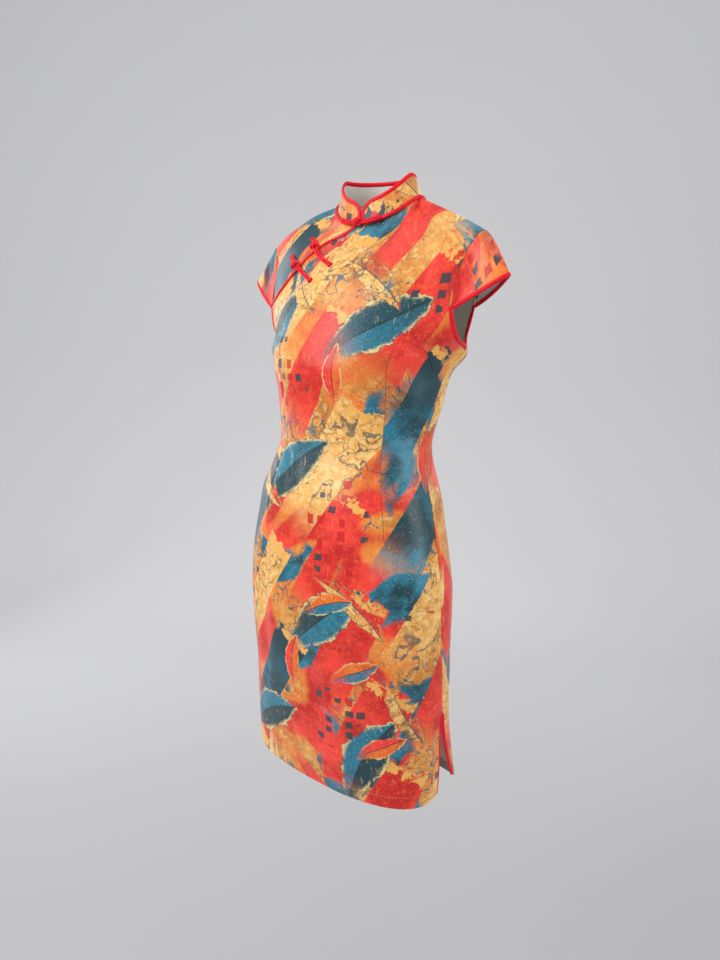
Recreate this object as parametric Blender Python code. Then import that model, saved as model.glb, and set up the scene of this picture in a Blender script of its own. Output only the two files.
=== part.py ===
"""Short sheath dress with a stand collar, cap sleeves and a slanting front opening, as it is when worn.

The wearer faces -Y, the wearer's left is +X, and +Z is up. The origin lies in the middle of the neck
opening, level with the neck points, where the wearer's shoulders carry the dress. Lengths are metres.
"""
import math

import bmesh
import bpy
import numpy as np

# %% Driving sizes
WALL = 0.0016                # thickness of the lined satin
SEAM_GAP = 0.0003            # left between two pieces that are sewn together
PIPING = 0.0022              # radius of the satin piping
PIPING_SIDES = 6
NECK_COLUMNS = 6             # grid columns of half a panel that end at the neckline
SHOULDER_COLUMNS = 7         # and those that end at the shoulder seam
NECK_POINT = (0.0728, 0.0110, 0.0)           # where the shoulder seam meets the collar
NECK_CENTRE = {"front": (-0.0310, -0.0410),  # y and z of the neckline at the centre line
               "back": (0.0640, 0.0025)}
NECK_DIP = {"front": 1.3, "back": 1.5}       # how quickly the neckline leaves its lowest point
NECK_SHARE = 0.36            # share of a panel's half width that its neckline takes
SHOULDER_TIP = (0.1910, 0.0025, -0.0535)
SHOULDER_SLOPE = {"left": 0.92, "right": 0.45}   # share of the seam's drop that is spread evenly along it
ROUNDNESS = {"front": 2.35, "back": 2.20}    # 2 is an ellipse, more is squarer
OUTWARD = {"front": -1.0, "back": 1.0}       # sign of y on the outside of a panel

# Levels round the body. The y columns are at the centre front, the centre back and the side seam.
#             level        height  half_width front_y  back_y   side_y
BODY_LEVELS = (
    ("hem",        -0.920, 0.1885, -0.0905, 0.0985, 0.0070),
    ("slit_top",   -0.771, 0.1810, -0.1175, 0.0940, 0.0000),
    ("hip",        -0.590, 0.1810, -0.1330, 0.0950, -0.0240),
    ("high_hip",   -0.460, 0.1600, -0.1290, 0.0800, -0.0290),
    ("waist",      -0.356, 0.1275, -0.1140, 0.0670, -0.0130),
    ("under_bust", -0.300, 0.1370, -0.1175, 0.0765, -0.0060),
    ("bust",       -0.250, 0.1455, -0.1280, 0.0865, 0.0010),
    ("underarm",   -0.223, 0.1610, -0.1245, 0.0890, 0.0200),
)
# Levels above the underarm, where a panel ends at the armhole. Length runs up the panel from the underarm.
#          level          length  edge_x  edge_y   edge_z  centre_y centre_z
UPPER_LEVELS = {
    "front": (
        ("armhole_low",  0.031, 0.1740, -0.0280, -0.2020, -0.1185, -0.1920),
        ("chest",        0.073, 0.1705, -0.0420, -0.1570, -0.1065, -0.1550),
        ("yoke",         0.136, 0.1790, -0.0220, -0.0880, -0.0780, -0.0980),
    ),
    "back": (
        ("armhole_low",  0.031, 0.1575, 0.0320, -0.1940, 0.0980, -0.1880),
        ("chest",        0.073, 0.1612, 0.0415, -0.1500, 0.1020, -0.1450),
        ("yoke",         0.136, 0.1760, 0.0360, -0.0880, 0.0930, -0.0760),
    ),
}
BELOW_NECK = 0.191           # length up the panel of the row under the neckline
NECK_LENGTH = 0.218          # length up the panel of its top row
NECK_FLARE = (0.010, 0.022)  # out and down from the neckline to the row below it
SHOULDER_FLARE = (0.017, 0.009)              # the same, at the shoulder tip

# The slits. The loose corner of each panel swings from the side seam by this much at the hem.
#         (side of the wearer, panel)   to_x     to_y    up
SLIT_SWING = {
    ("left", "front"): (-0.0170, 0.0120, 0.0000),
    ("left", "back"): (-0.0070, 0.0360, 0.0250),
    ("right", "front"): (-0.0150, 0.0080, 0.0000),
    ("right", "back"): (-0.0080, 0.0260, 0.0220),
}
SLIT_CURVE = 1.5             # above 1, a slit opens slowly at its top
SLIT_REACH = {"front": 0.5, "back": 0.1}     # share of the half width at which the swing starts

# Soft folds in the panels: across is from -1 at the wearer's right to 1 at the left.
#    panel    from_across to_across from_z   to_z    width   depth
FOLDS = (
    ("front", -0.55, -0.50, -0.400, -0.860, 0.020, 0.0020),
    ("front", -0.15, -0.30, -0.620, -0.900, 0.030, 0.0025),
    ("front", 0.42, 0.52, -0.400, -0.640, 0.018, 0.0016),
    ("front", 0.30, 0.40, -0.700, -0.905, 0.034, 0.0022),
    ("front", 0.78, 0.66, -0.560, -0.740, 0.026, 0.0018),
    ("front", 0.52, 0.95, -0.205, -0.275, 0.016, 0.0008),
    ("front", -0.52, -0.95, -0.205, -0.275, 0.016, 0.0008),
    ("back", -0.42, -0.50, -0.300, -0.520, 0.020, 0.0022),
    ("back", 0.42, 0.50, -0.300, -0.520, 0.020, 0.0022),
    ("back", 0.10, 0.22, -0.640, -0.890, 0.034, 0.0026),
    ("back", -0.35, -0.25, -0.660, -0.895, 0.030, 0.0022),
    ("back", -0.85, 0.80, -0.345, -0.372, 0.014, 0.0020),
)

# The front opening leaves the neckline at the centre front and falls to the wearer's right armhole.
OPENING_STEEPNESS = 1.80     # how fast it falls near the neck
OPENING_LEVELLING = 6        # how sharply it levels out towards the armhole
OPENING_END = 0.071          # length up the panel where it meets the armhole
UNDERLAP = 0.022             # how far the under piece runs beneath the flap
UNDERLAP_INSET = WALL + SEAM_GAP
UNDERLAP_LEVEL_REACH = 0.010 # it lies low for this far above the flap's edge, then rises over
UNDERLAP_RISE = 0.040        # this length

SLIT_NOTCH = 0.012           # length over which the bound edges step back from the side seam

SLEEVE_JOIN = 0.071          # length up each panel where the sleeve hem starts
JOIN_ROWS = 5                # grid rows from the underarm to there
SHOULDER_ROWS = 8            # and from there to the neckline
SLEEVE_TIP = (0.2385, -0.0065, -0.1130)          # middle of the sleeve hem
SLEEVE_END_WIDTH = 0.0034    # width of the sleeve where it starts
SLEEVE_NOSE = 0.30           # how round the hem is at its middle: 0 is a sharp point
SLEEVE_BELLY = (0.001, 0.005, 0.001)        # how far the back half of the hem bellies out
SLEEVE_CROWN = 0.25          # share of its drop by which the sleeve first runs straight out
SLEEVE_FULL_LENGTH = 0.020   # where it is shorter than this, it follows the panel beside it
SLEEVE_ROWS = 7
EASE_PUCKERS = 7
EASE_DEPTH = 0.0011
EASE_REACH = 0.45            # share of the sleeve's length down which the puckers fade

COLLAR_HEIGHT = 0.0290
COLLAR_TAPER = 0.87          # size of its top edge against its bottom edge
COLLAR_LEAN = -0.005         # its top stands this far forward of its base
COLLAR_CENTRE_Y = 0.014
COLLAR_TAB = 0.020           # reach of the rounding at each front end
COLLAR_TAB_DROP = 0.0145
COLLAR_CLEAR = 0.002         # least spacing of its grid columns
COLLAR_ROWS = 5

FROG_WIDTH = 0.0034          # half width of the doubled cord of a frog
FROG_DEPTH = 0.0017          # half depth of it
KNOT = 0.0049                # radius of its knot
# Each frog: the end of its loop half on the flap, where it crosses the opening, and the end of its button
# half on the under piece, all as (across, height).
FROGS = (
    ("frog_chest", (-0.045, -0.0955), (-0.245, -0.0690), (-0.430, -0.0600)),
    ("frog_side", (-0.170, -0.1190), (-0.350, -0.0950), (-0.520, -0.0800)),
)
NECK_FROG_REACH = {"left": 0.034, "right": 0.031}   # how far the collar's frog runs from the centre front

SATIN = (0.80, 0.42, 0.16)
RED = (0.62, 0.02, 0.04)


# %% Curves through the levels
def smooth_rows(knots, rows, at, corner, sharpness):
    """Read a table of rows at other heights, with a smooth curve that never overshoots between two rows.

    rows is (levels, points, values); at holds one height for each point. At the corner level a point of
    full sharpness leaves in the direction in which it arrived from below.
    """
    steps = np.diff(knots)[:, None, None]
    slopes = np.diff(rows, axis=0) / steps
    tangents = np.zeros_like(rows)
    before, after = slopes[:-1], slopes[1:]
    same_way = before * after > 0
    weight_a = 2 * steps[1:] + steps[:-1]
    weight_b = steps[1:] + 2 * steps[:-1]
    safe_before = np.where(same_way, before, 1.0)
    safe_after = np.where(same_way, after, 1.0)
    mean = (weight_a + weight_b) / (weight_a / safe_before + weight_b / safe_after)
    tangents[1:-1] = np.where(same_way, mean, 0.0)
    tangents[0] = slopes[0]
    tangents[-1] = slopes[-1]
    tangents[corner] += (slopes[corner - 1] - tangents[corner]) * sharpness[:, None]
    span = np.clip(np.searchsorted(knots, at, side="right") - 1, 0, len(knots) - 2)
    point = np.arange(rows.shape[1])
    step = np.diff(knots)[span]
    share = ((at - knots[span]) / step)[:, None]
    step = step[:, None]
    return ((2 * share ** 3 - 3 * share ** 2 + 1) * rows[span, point]
            + (share ** 3 - 2 * share ** 2 + share) * step * tangents[span, point]
            + (3 * share ** 2 - 2 * share ** 3) * rows[span + 1, point]
            + (share ** 3 - share ** 2) * step * tangents[span + 1, point])


def ease(value):
    """Go smoothly from 0 to 1."""
    value = np.clip(value, 0.0, 1.0)
    return value * value * (3 - 2 * value)


def unit(vectors):
    return vectors / np.linalg.norm(vectors, axis=-1, keepdims=True)


UNDERARM_HEIGHT = BODY_LEVELS[-1][1]
HEM_HEIGHT = BODY_LEVELS[0][1]
SLIT_HEIGHT = BODY_LEVELS[1][1]
# A panel is measured up its centre line: by height as far as the underarm, then by length beyond it.
KNOTS = np.array([level[1] for level in BODY_LEVELS]
                 + [UNDERARM_HEIGHT + level[1] for level in UPPER_LEVELS["front"]]
                 + [UNDERARM_HEIGHT + BELOW_NECK, UNDERARM_HEIGHT + NECK_LENGTH])
TOP = KNOTS[-1]


def body_row(level, panel, across):
    """Half of a rounded ring round the body, from one side seam to the other."""
    height, half_width, front_y, back_y, side_y = level[1:]
    turn = across * math.pi / 2
    power = 2 / ROUNDNESS[panel]
    centre_y = front_y if panel == "front" else back_y
    x = half_width * np.sign(turn) * np.abs(np.sin(turn)) ** power
    y = side_y + (centre_y - side_y) * np.abs(np.cos(turn)) ** power
    return np.stack([x, y, np.full_like(x, height)], -1)


def upper_row(level, across):
    """A row that ends at the armhole on each side."""
    edge_x, edge_y, edge_z, centre_y, centre_z = level[2:]
    wide = np.sin(np.abs(across) * 1.35) / math.sin(1.35)
    y = centre_y + (edge_y - centre_y) * wide ** 2.2
    z = centre_z + (edge_z - centre_z) * wide ** 2
    return np.stack([np.sign(across) * edge_x * wide, y, z], -1)


def top_row(panel, across):
    """The neckline in the middle and a shoulder seam on each side."""
    wide = np.abs(across)
    turn = np.clip(wide / NECK_SHARE, 0, 1) * math.pi / 2
    centre_y, centre_z = NECK_CENTRE[panel]
    point_x, point_y, point_z = NECK_POINT
    dip = np.maximum(np.cos(turn), 0.0)
    neck = np.stack([point_x * np.sin(turn), point_y + (centre_y - point_y) * dip,
                     point_z + (centre_z - point_z) * dip ** NECK_DIP[panel]], -1)
    along = np.clip((wide - NECK_SHARE) / (1 - NECK_SHARE), 0, 1)
    tip_x, tip_y, tip_z = SHOULDER_TIP
    even = np.where(across > 0, SHOULDER_SLOPE["left"], SHOULDER_SLOPE["right"])
    fall = even * along + (1 - even) * along ** 3
    seam = np.stack([point_x + (tip_x - point_x) * along, point_y + (tip_y - point_y) * along,
                     point_z + (tip_z - point_z) * fall], -1)
    row = np.where((wide > NECK_SHARE)[:, None], seam, neck)
    row[:, 0] *= np.sign(across)
    return row


def level_rows(panel, across):
    rows = [body_row(level, panel, across) for level in BODY_LEVELS]
    rows += [upper_row(level, across) for level in UPPER_LEVELS[panel]]
    top = top_row(panel, across)
    side = ease((np.abs(across) - NECK_SHARE * 0.6) / (1 - NECK_SHARE * 0.6))[:, None]
    out, down = (np.array(pair) for pair in zip(NECK_FLARE, SHOULDER_FLARE))
    flare = (1 - side) * np.array([0, OUTWARD[panel] * out[0], -down[0]])
    flare = flare + side * np.array([0, OUTWARD[panel] * out[1], -down[1]])
    return np.array(rows + [top + flare, top])


def smooth_form(panel, across, height):
    """The panel's outer face without its folds and loose corners.

    The side seam is the same curve on both panels, although they part above the underarm.
    """
    return smooth_rows(KNOTS, level_rows(panel, across), height, len(BODY_LEVELS) - 1, across ** 8)


def slit_swing(panel, across, height):
    open_share = np.clip((SLIT_HEIGHT - height) / (SLIT_HEIGHT - HEM_HEIGHT), 0, 1) ** SLIT_CURVE
    reach = SLIT_REACH[panel]
    edge_share = np.clip((np.abs(across) - reach) / (1 - reach), 0, 1) ** 2
    left, right = (np.array(SLIT_SWING[side, panel]) for side in ("left", "right"))
    right = right * np.array([-1, 1, 1])
    swing = np.where((across > 0)[:, None], left, right)
    return swing * (open_share * edge_share)[:, None]


def swung_form(panel, across, height):
    return smooth_form(panel, across, height) + slit_swing(panel, across, height)


def outward(panel, across, height):
    """The outward direction at points of a panel."""
    step = 0.002
    left, right = np.maximum(across - step, -1), np.minimum(across + step, 1)
    left = np.where(across >= NECK_SHARE - 1e-6, np.maximum(left, NECK_SHARE), left)
    right = np.where(across <= -NECK_SHARE + 1e-6, np.minimum(right, -NECK_SHARE), right)
    low, high = np.maximum(height - step, HEM_HEIGHT), np.minimum(height + step, TOP)
    sideways = swung_form(panel, right, height) - swung_form(panel, left, height)
    upwards = swung_form(panel, across, high) - swung_form(panel, across, low)
    normal = np.cross(sideways, upwards) * -OUTWARD[panel]
    wide = np.abs(across)
    at_seam = (wide > 0.999) & (height <= UNDERARM_HEIGHT + 1e-6) & (height > SLIT_HEIGHT - SLIT_NOTCH / 2)
    at_seam |= (wide >= NECK_SHARE - 1e-6) & (height > TOP - 1e-6)
    normal[at_seam, 1] = 0.0
    return unit(normal)


def fold_depth(panel, across, height):
    depth = np.zeros_like(across)
    for fold_panel, from_across, to_across, from_z, to_z, width, most in FOLDS:
        if fold_panel != panel:
            continue
        if abs(to_across - from_across) < 1.0:
            along = (height - from_z) / (to_z - from_z)
            middle = from_across + (to_across - from_across) * along
            apart = (across - middle) * 0.16
        else:
            along = (across - from_across) / (to_across - from_across)
            apart = height - (from_z + (to_z - from_z) * along)
        fade = ease(along * 4) * ease((1 - along) * 4)
        depth += most * fade * np.exp(-(apart / width) ** 2)
    return depth


def on_panel(panel, across, height, lift=0.0):
    """Points of a panel's outer face, moved out by lift."""
    across, height = np.broadcast_arrays(np.asarray(across, float), np.asarray(height, float))
    shape = across.shape
    across, height = across.ravel(), height.ravel()
    out = outward(panel, across, height)
    points = swung_form(panel, across, height)
    points += out * (lift - fold_depth(panel, across, height))[:, None]
    points[:, 1] += OUTWARD[panel] * SEAM_GAP / 2
    return points.reshape(shape + (3,)), out.reshape(shape + (3,))


# %% Solids from grids and paths
def add_object(name, mesh_data, colour):
    vertices, faces = mesh_data
    mesh = bpy.data.meshes.new(name)
    mesh.from_pydata([tuple(point) for point in vertices], [], faces)
    work = bmesh.new()
    work.from_mesh(mesh)
    bmesh.ops.remove_doubles(work, verts=work.verts, dist=1e-5)
    bmesh.ops.triangulate(work, faces=work.faces)
    bmesh.ops.recalc_face_normals(work, faces=work.faces)
    if work.calc_volume(signed=True) < 0:
        bmesh.ops.reverse_faces(work, faces=work.faces)
    work.to_mesh(mesh)
    work.free()
    mesh.shade_smooth()
    mesh.set_sharp_from_angle(angle=math.radians(40))
    material = bpy.data.materials.new(name)
    material.use_nodes = True
    surface = material.node_tree.nodes["Principled BSDF"]
    surface.inputs["Base Color"].default_value = (*colour, 1)
    surface.inputs["Roughness"].default_value = 0.42
    surface.inputs["Metallic"].default_value = 0.0
    mesh.materials.append(material)
    item = bpy.data.objects.new(name, mesh)
    bpy.context.scene.collection.objects.link(item)
    return item


def cloth(name, outer, out):
    """A wall of cloth under a grid of outer points, with its rim closed."""
    inner = outer - out * WALL
    rows, columns = outer.shape[:2]
    count = rows * columns
    number = np.arange(count).reshape(rows, columns)
    faces = []
    for row in range(rows - 1):
        for column in range(columns - 1):
            corners = [number[row, column], number[row, column + 1],
                       number[row + 1, column + 1], number[row + 1, column]]
            faces.append([int(corner) for corner in corners])
            faces.append([int(corner) + count for corner in reversed(corners)])
    rim = list(number[0]) + list(number[1:, -1]) + list(number[-1, -2::-1]) + list(number[-2:0:-1, 0])
    for here, there in zip(rim, rim[1:] + rim[:1]):
        faces.append([int(there), int(here), int(here) + count, int(there) + count])
    points = np.concatenate([outer.reshape(-1, 3), inner.reshape(-1, 3)])
    return add_object(name, (points, faces), SATIN)


def tube_mesh(path, up, widths, heights, sides):
    """A closed tube along a path. up gives the direction in which heights are measured."""
    path = np.asarray(path, float)
    forward = unit(np.gradient(path, axis=0))
    up = np.broadcast_to(np.asarray(up, float), path.shape)
    across = unit(np.cross(forward, up))
    up = np.cross(across, forward)
    turns = (np.arange(sides) + 0.5) * 2 * math.pi / sides
    rings = (path[:, None] + across[:, None] * np.cos(turns)[None, :, None] * np.reshape(widths, (-1, 1, 1))
             + up[:, None] * np.sin(turns)[None, :, None] * np.reshape(heights, (-1, 1, 1)))
    count = len(path)
    number = np.arange(count * sides).reshape(count, sides)
    faces = []
    for ring in range(count - 1):
        for side in range(sides):
            after = (side + 1) % sides
            faces.append([int(number[ring, side]), int(number[ring, after]),
                          int(number[ring + 1, after]), int(number[ring + 1, side])])
    faces.append([int(corner) for corner in number[0][::-1]])
    faces.append([int(corner) for corner in number[-1]])
    return rings.reshape(-1, 3), faces


def piping(name, path, up):
    size = np.full(len(path), PIPING)
    return add_object(name, tube_mesh(path, up, size, size, PIPING_SIDES), RED)


def beside_edge(edge, out, level, side=1.0):
    """The path of a cord just past an edge. It lies on the left of the way along, seen from outside."""
    along = unit(np.gradient(edge, axis=0))
    past = unit(np.cross(out, along)) * side
    return edge + past * (PIPING + SEAM_GAP) + out * level


def evened(path, rounds):
    """Soften the bends of a path, and keep its ends."""
    path = path.copy()
    for _ in range(rounds):
        path[1:-1] = path[1:-1] * 0.5 + (path[:-2] + path[2:]) * 0.25
    return path


def trimmed(path, out, others, clear):
    """Drop the ends of a path that come closer than clear to other paths."""
    fine = np.arange(0, len(path) - 0.8, 0.25)
    at = np.arange(len(path))
    path = np.stack([np.interp(fine, at, path[:, axis]) for axis in range(3)], -1)
    out = np.stack([np.interp(fine, at, out[:, axis]) for axis in range(3)], -1)
    nearest = np.linalg.norm(path[:, None] - np.concatenate(others)[None], axis=-1).min(axis=1)
    free = np.flatnonzero(nearest > clear)
    picked = np.unique(np.concatenate([free[:1], free[(free % 4) == 0], free[-1:]]))
    return path[picked], unit(out[picked])


# %% The panels
def half_columns():
    neck = np.linspace(0, NECK_SHARE, NECK_COLUMNS + 1)
    shoulder = np.linspace(NECK_SHARE, 1, SHOULDER_COLUMNS + 1)
    return np.concatenate([neck, shoulder[1:]])


def whole_columns():
    return np.concatenate([-half_columns()[::-1], half_columns()[1:]])


def body_heights():
    """Grid rows from the hem to the underarm, closer together where the side seam bends more."""
    marks = [level[1] for level in BODY_LEVELS]
    heights = list(np.linspace(marks[0], marks[1] - SLIT_NOTCH, 4))
    for low, high, parts in zip(marks[1:], marks[2:], (3, 3, 3, 2, 2, 2)):
        heights += list(np.linspace(low, high, parts + 1)[:-1])
    return np.array(heights + [marks[-1]])


def opening_height(across):
    """Height of the opening's edge up the front, for across from -1 to 0."""
    steep = np.abs(across) * OPENING_STEEPNESS
    fall = steep / (1 + steep ** OPENING_LEVELLING) ** (1 / OPENING_LEVELLING)
    fall_at_armhole = OPENING_STEEPNESS / (1 + OPENING_STEEPNESS ** OPENING_LEVELLING) ** (1 / OPENING_LEVELLING)
    return TOP + (UNDERARM_HEIGHT + OPENING_END - TOP) * fall / fall_at_armhole


def upper_lengths():
    low = np.linspace(0, SLEEVE_JOIN, JOIN_ROWS + 1)[1:]
    return np.concatenate([low, np.linspace(SLEEVE_JOIN, NECK_LENGTH, SHOULDER_ROWS + 1)[1:]])


def squared(out, past):
    """Turn outward directions square to the way past an edge."""
    past = unit(past)
    return unit(out - past * np.sum(out * past, -1, keepdims=True))


def past_edge_in_cloth(edge, beside):
    """The way past an edge along the cloth. One unit of it goes one unit from the edge."""
    past = unit(edge - beside)
    along = unit(np.gradient(edge, axis=0))
    square = past - along * np.sum(past * along, -1, keepdims=True)
    return past / np.linalg.norm(square, axis=-1, keepdims=True)


def bound_slit_edges(points, out, heights):
    """Step the side edges back below the slits, to leave room for the piping that binds them."""
    bound = heights < SLIT_HEIGHT - SLIT_NOTCH / 2
    for edge, beside in ((0, 1), (-1, -2)):
        past = past_edge_in_cloth(points[bound, edge], points[bound, beside])
        points[bound, edge] -= past * (2 * PIPING + 1.5 * SEAM_GAP)
        out[bound, edge] = squared(out[bound, edge], past)


def front_heights(across):
    """Grid heights of the front. On the wearer's right the upper rows crowd below the opening."""
    top = np.where(across < 0, opening_height(np.minimum(across, 0)), TOP)
    body = np.repeat(body_heights()[:, None], len(across), axis=1)
    share = upper_lengths() / NECK_LENGTH
    right = np.concatenate([share[:-1] / share[-2], [1.0]])
    lapped = UNDERARM_HEIGHT + (top - UNDERLAP - UNDERARM_HEIGHT) * right[:, None]
    lapped[-1] = top
    plain = UNDERARM_HEIGHT + (TOP - UNDERARM_HEIGHT) * share[:, None]
    return np.concatenate([body, np.where(across < 0, lapped, plain)])


def make_front():
    across = whole_columns()
    heights = front_heights(across)
    points, out = on_panel("front", np.broadcast_to(across, heights.shape), heights)
    bound_slit_edges(points, out, heights[:, 0])
    cloth("front", points, out)


def underlap_inset(across, height):
    past_edge = height - opening_height(across)
    return UNDERLAP_INSET * (1 - ease((past_edge - UNDERLAP_LEVEL_REACH) / UNDERLAP_RISE))


def make_underlap():
    across = -half_columns()[::-1]
    edge = opening_height(across)
    above = edge + (TOP - edge) * np.linspace(0, 1, SHOULDER_ROWS + 1)[1:, None]
    heights = np.concatenate([(edge - UNDERLAP)[None], edge[None], above])
    grid_across = np.broadcast_to(across, heights.shape)
    points, out = on_panel("front", grid_across, heights)
    cloth("front_underlap", points - out * underlap_inset(grid_across, heights)[..., None], out)


def make_back():
    across = whole_columns()
    lengths = np.concatenate([body_heights(), UNDERARM_HEIGHT + upper_lengths()])
    heights = np.repeat(lengths[:, None], len(across), axis=1)
    points, out = on_panel("back", np.broadcast_to(across, heights.shape), heights)
    bound_slit_edges(points, out, heights[:, 0])
    cloth("back", points, out)


def opening_path():
    across = -half_columns()
    edge, out = on_panel("front", across, opening_height(across))
    return beside_edge(edge, out, PIPING + SEAM_GAP - UNDERLAP_INSET, side=-1.0), out


def make_slit_piping(side, panel):
    edge_across = 1.0 if side == "left" else -1.0
    heights = body_heights()
    heights = heights[heights < SLIT_HEIGHT - SLIT_NOTCH / 2]
    edge, out = on_panel(panel, edge_across, heights)
    beside, _ = on_panel(panel, edge_across * half_columns()[-2], heights)
    past = past_edge_in_cloth(edge, beside)
    out = squared(out, past)
    path = edge - past * (PIPING + SEAM_GAP / 2) - out * WALL / 2
    piping(f"slit_piping_{side}_{panel}", path, out)


# %% Armholes and sleeves
def armhole_edge(panel, side, lengths):
    """Points along a panel's armhole edge, at lengths up the panel from the underarm."""
    return on_panel(panel, side, UNDERARM_HEIGHT + np.asarray(lengths))


def armhole_path(side):
    lengths = np.concatenate([[0.001], upper_lengths()[:JOIN_ROWS]])
    front, front_out = armhole_edge("front", side, lengths[::-1])
    back, back_out = armhole_edge("back", side, lengths)
    edge = np.concatenate([front, back])
    out = unit(np.concatenate([front_out, back_out]))
    path = beside_edge(edge, out, -WALL / 2, side)
    nearest = np.linalg.norm(path[:, None] + out[:, None] * WALL / 2 - edge[None], axis=-1).min(axis=1)
    keep = nearest > PIPING + SEAM_GAP * 0.9
    return evened(path[keep], 1), out[keep]


def halved(values):
    """Put a value halfway between each two."""
    at = np.arange(len(values))
    return np.stack([np.interp(np.arange(0, len(values) - 0.9, 0.5), at, values[:, axis])
                     for axis in range(values.shape[1])], -1)


def sleeve_seam(side):
    """The seam of a sleeve round the armhole, from the front over the shoulder tip to the back."""
    lengths = np.concatenate([[SLEEVE_JOIN], upper_lengths()[JOIN_ROWS:]])
    front, front_out = armhole_edge("front", side, lengths)
    back, back_out = armhole_edge("back", side, lengths[::-1])
    tip = (front[-1:] + back[:1]) / 2
    edge = np.concatenate([front[:-1], tip, back[1:]])
    out = unit(np.concatenate([front_out[:-1], front_out[-1:], back_out[1:]]))
    along = unit(np.gradient(edge, axis=0))
    past = unit(np.cross(along, out)) * side
    seam = edge + past * SEAM_GAP
    return halved(seam), unit(halved(past)), unit(halved(out))


def sleeve_grid(side):
    """Outer points of a sleeve, from the armhole row to the hem row."""
    seam, past, seam_out = sleeve_seam(side)
    share = np.linspace(-1, 1, len(seam))
    flip = np.array([side, 1, 1])
    tip = np.array(SLEEVE_TIP) * flip
    far = (np.hypot(share, SLEEVE_NOSE) - SLEEVE_NOSE) / (math.hypot(1, SLEEVE_NOSE) - SLEEVE_NOSE)
    belly = np.array(SLEEVE_BELLY) * flip * (4 * far * (1 - far) * (share > 0))[:, None]
    front_end = seam[0] + past[0] * SLEEVE_END_WIDTH
    back_end = seam[-1] + past[-1] * SLEEVE_END_WIDTH
    middle = (front_end + back_end) / 2
    hem = tip + (middle - tip) * far[:, None] + (back_end - front_end) / 2 * share[:, None] + belly
    drop = np.linalg.norm(hem - seam, axis=-1, keepdims=True)
    crown = seam + past * drop * SLEEVE_CROWN
    down = np.linspace(0, 1, SLEEVE_ROWS)[:, None, None]
    points = (1 - down) ** 2 * seam + 2 * down * (1 - down) * crown + down ** 2 * hem
    out = grid_normals(points, points - np.array([side * 0.10, 0.0, -0.25]))
    long_enough = np.clip(drop / SLEEVE_FULL_LENGTH, 0, 1)
    return points, unit(out * long_enough + seam_out * (1 - long_enough)), share


def grid_normals(points, like):
    """Outward directions of a grid, each on the same side as those of like."""
    sideways = np.gradient(points, axis=1)
    downwards = np.gradient(points, axis=0)
    normal = unit(np.cross(sideways, downwards))
    return normal * np.sign(np.sum(normal * like, -1, keepdims=True))


def make_sleeve(name, side):
    points, out, share = sleeve_grid(side)
    near_tip = np.exp(-(share / 0.42) ** 2)
    down = np.linspace(0, 1, SLEEVE_ROWS)[:, None]
    waves = np.sin(share * math.pi * EASE_PUCKERS) * near_tip * EASE_DEPTH
    fade = ease(down * 6) * (1 - ease(down / EASE_REACH / 2))
    points = points + out * (waves * fade)[..., None]
    cloth(name, points, out)
    return beside_edge(points[-1], out[-1], -WALL / 2, -side), out[-1]


# %% Collar
def neckline():
    """Points all round the neckline, from the centre front by the wearer's left, and their outsides."""
    halves = []
    for side in (1.0, -1.0):
        across = side * half_columns()[:NECK_COLUMNS + 1]
        front, front_out = on_panel("front", across, TOP)
        back, back_out = on_panel("back", across[::-1], TOP)
        joint = (front[-1:] + back[:1]) / 2
        points = np.concatenate([front[:-1], joint, back[1:]])
        out = np.concatenate([front_out[:-1], front_out[-1:], back_out[1:]])
        halves.append((points, out))
    (left, left_out), (right, right_out) = halves
    return np.concatenate([left, right[-2::-1]]), unit(np.concatenate([left_out, right_out[-2::-1]]))


def travelled(line):
    """The distance along a line of points at each of them."""
    return np.concatenate([[0], np.cumsum(np.linalg.norm(np.diff(line[:, :3], axis=0), axis=-1))])


def along_line(line, at):
    """Read a line of points at distances along it."""
    far = travelled(line)
    values = [np.interp(at, far, line[:, column]) for column in range(line.shape[1])]
    return np.stack(values, -1)


def collar_grid():
    """Outer points of the collar, from its base row to its top row, and the outward directions."""
    line, _ = neckline()
    length = travelled(line)[-1]
    start = (2 * PIPING + 3 * SEAM_GAP) / COLLAR_TAPER
    tab = start + COLLAR_TAB * (1 - np.cos(np.linspace(0, math.pi / 2, 7)))
    rest = halved(travelled(line)[:, None])[:, 0]
    rest = rest[(rest > tab[-1] + COLLAR_CLEAR) & (rest < length - tab[-1] - COLLAR_CLEAR)]
    at = np.concatenate([tab, rest, length - tab[::-1]])
    base = along_line(line, at)
    centre = np.array([0, COLLAR_CENTRE_Y, 0])
    top = (base - centre) * np.array([COLLAR_TAPER, COLLAR_TAPER, 1]) + centre
    top += np.array([0, COLLAR_LEAN, COLLAR_HEIGHT])
    from_end = np.clip(np.minimum(at - start, length - start - at) / COLLAR_TAB, 0, 1)
    drop = COLLAR_TAB_DROP * (1 - np.sqrt(1 - (1 - from_end) ** 2))
    rise = (COLLAR_HEIGHT - drop) / COLLAR_HEIGHT
    up = np.linspace(0, 1, COLLAR_ROWS)[:, None, None] * rise[None, :, None]
    points = base + np.array([0, 0, SEAM_GAP]) + (top - base) * up
    out = grid_normals(points, (points - centre) * np.array([1, 1, 0]) + [0, 0, 0.02])
    out[0] = unit(out[0] * np.array([1, 1, 0]))
    return points, out


def make_collar():
    points, out = collar_grid()
    cloth("collar", points, out)
    rim = np.concatenate([points[1:-1, 0], points[-1], points[-2:0:-1, -1]])
    rim_out = np.concatenate([out[1:-1, 0], out[-1], out[-2:0:-1, -1]])
    path = beside_edge(rim, rim_out, -WALL / 2)
    piping("collar_piping", path, rim_out)


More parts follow.
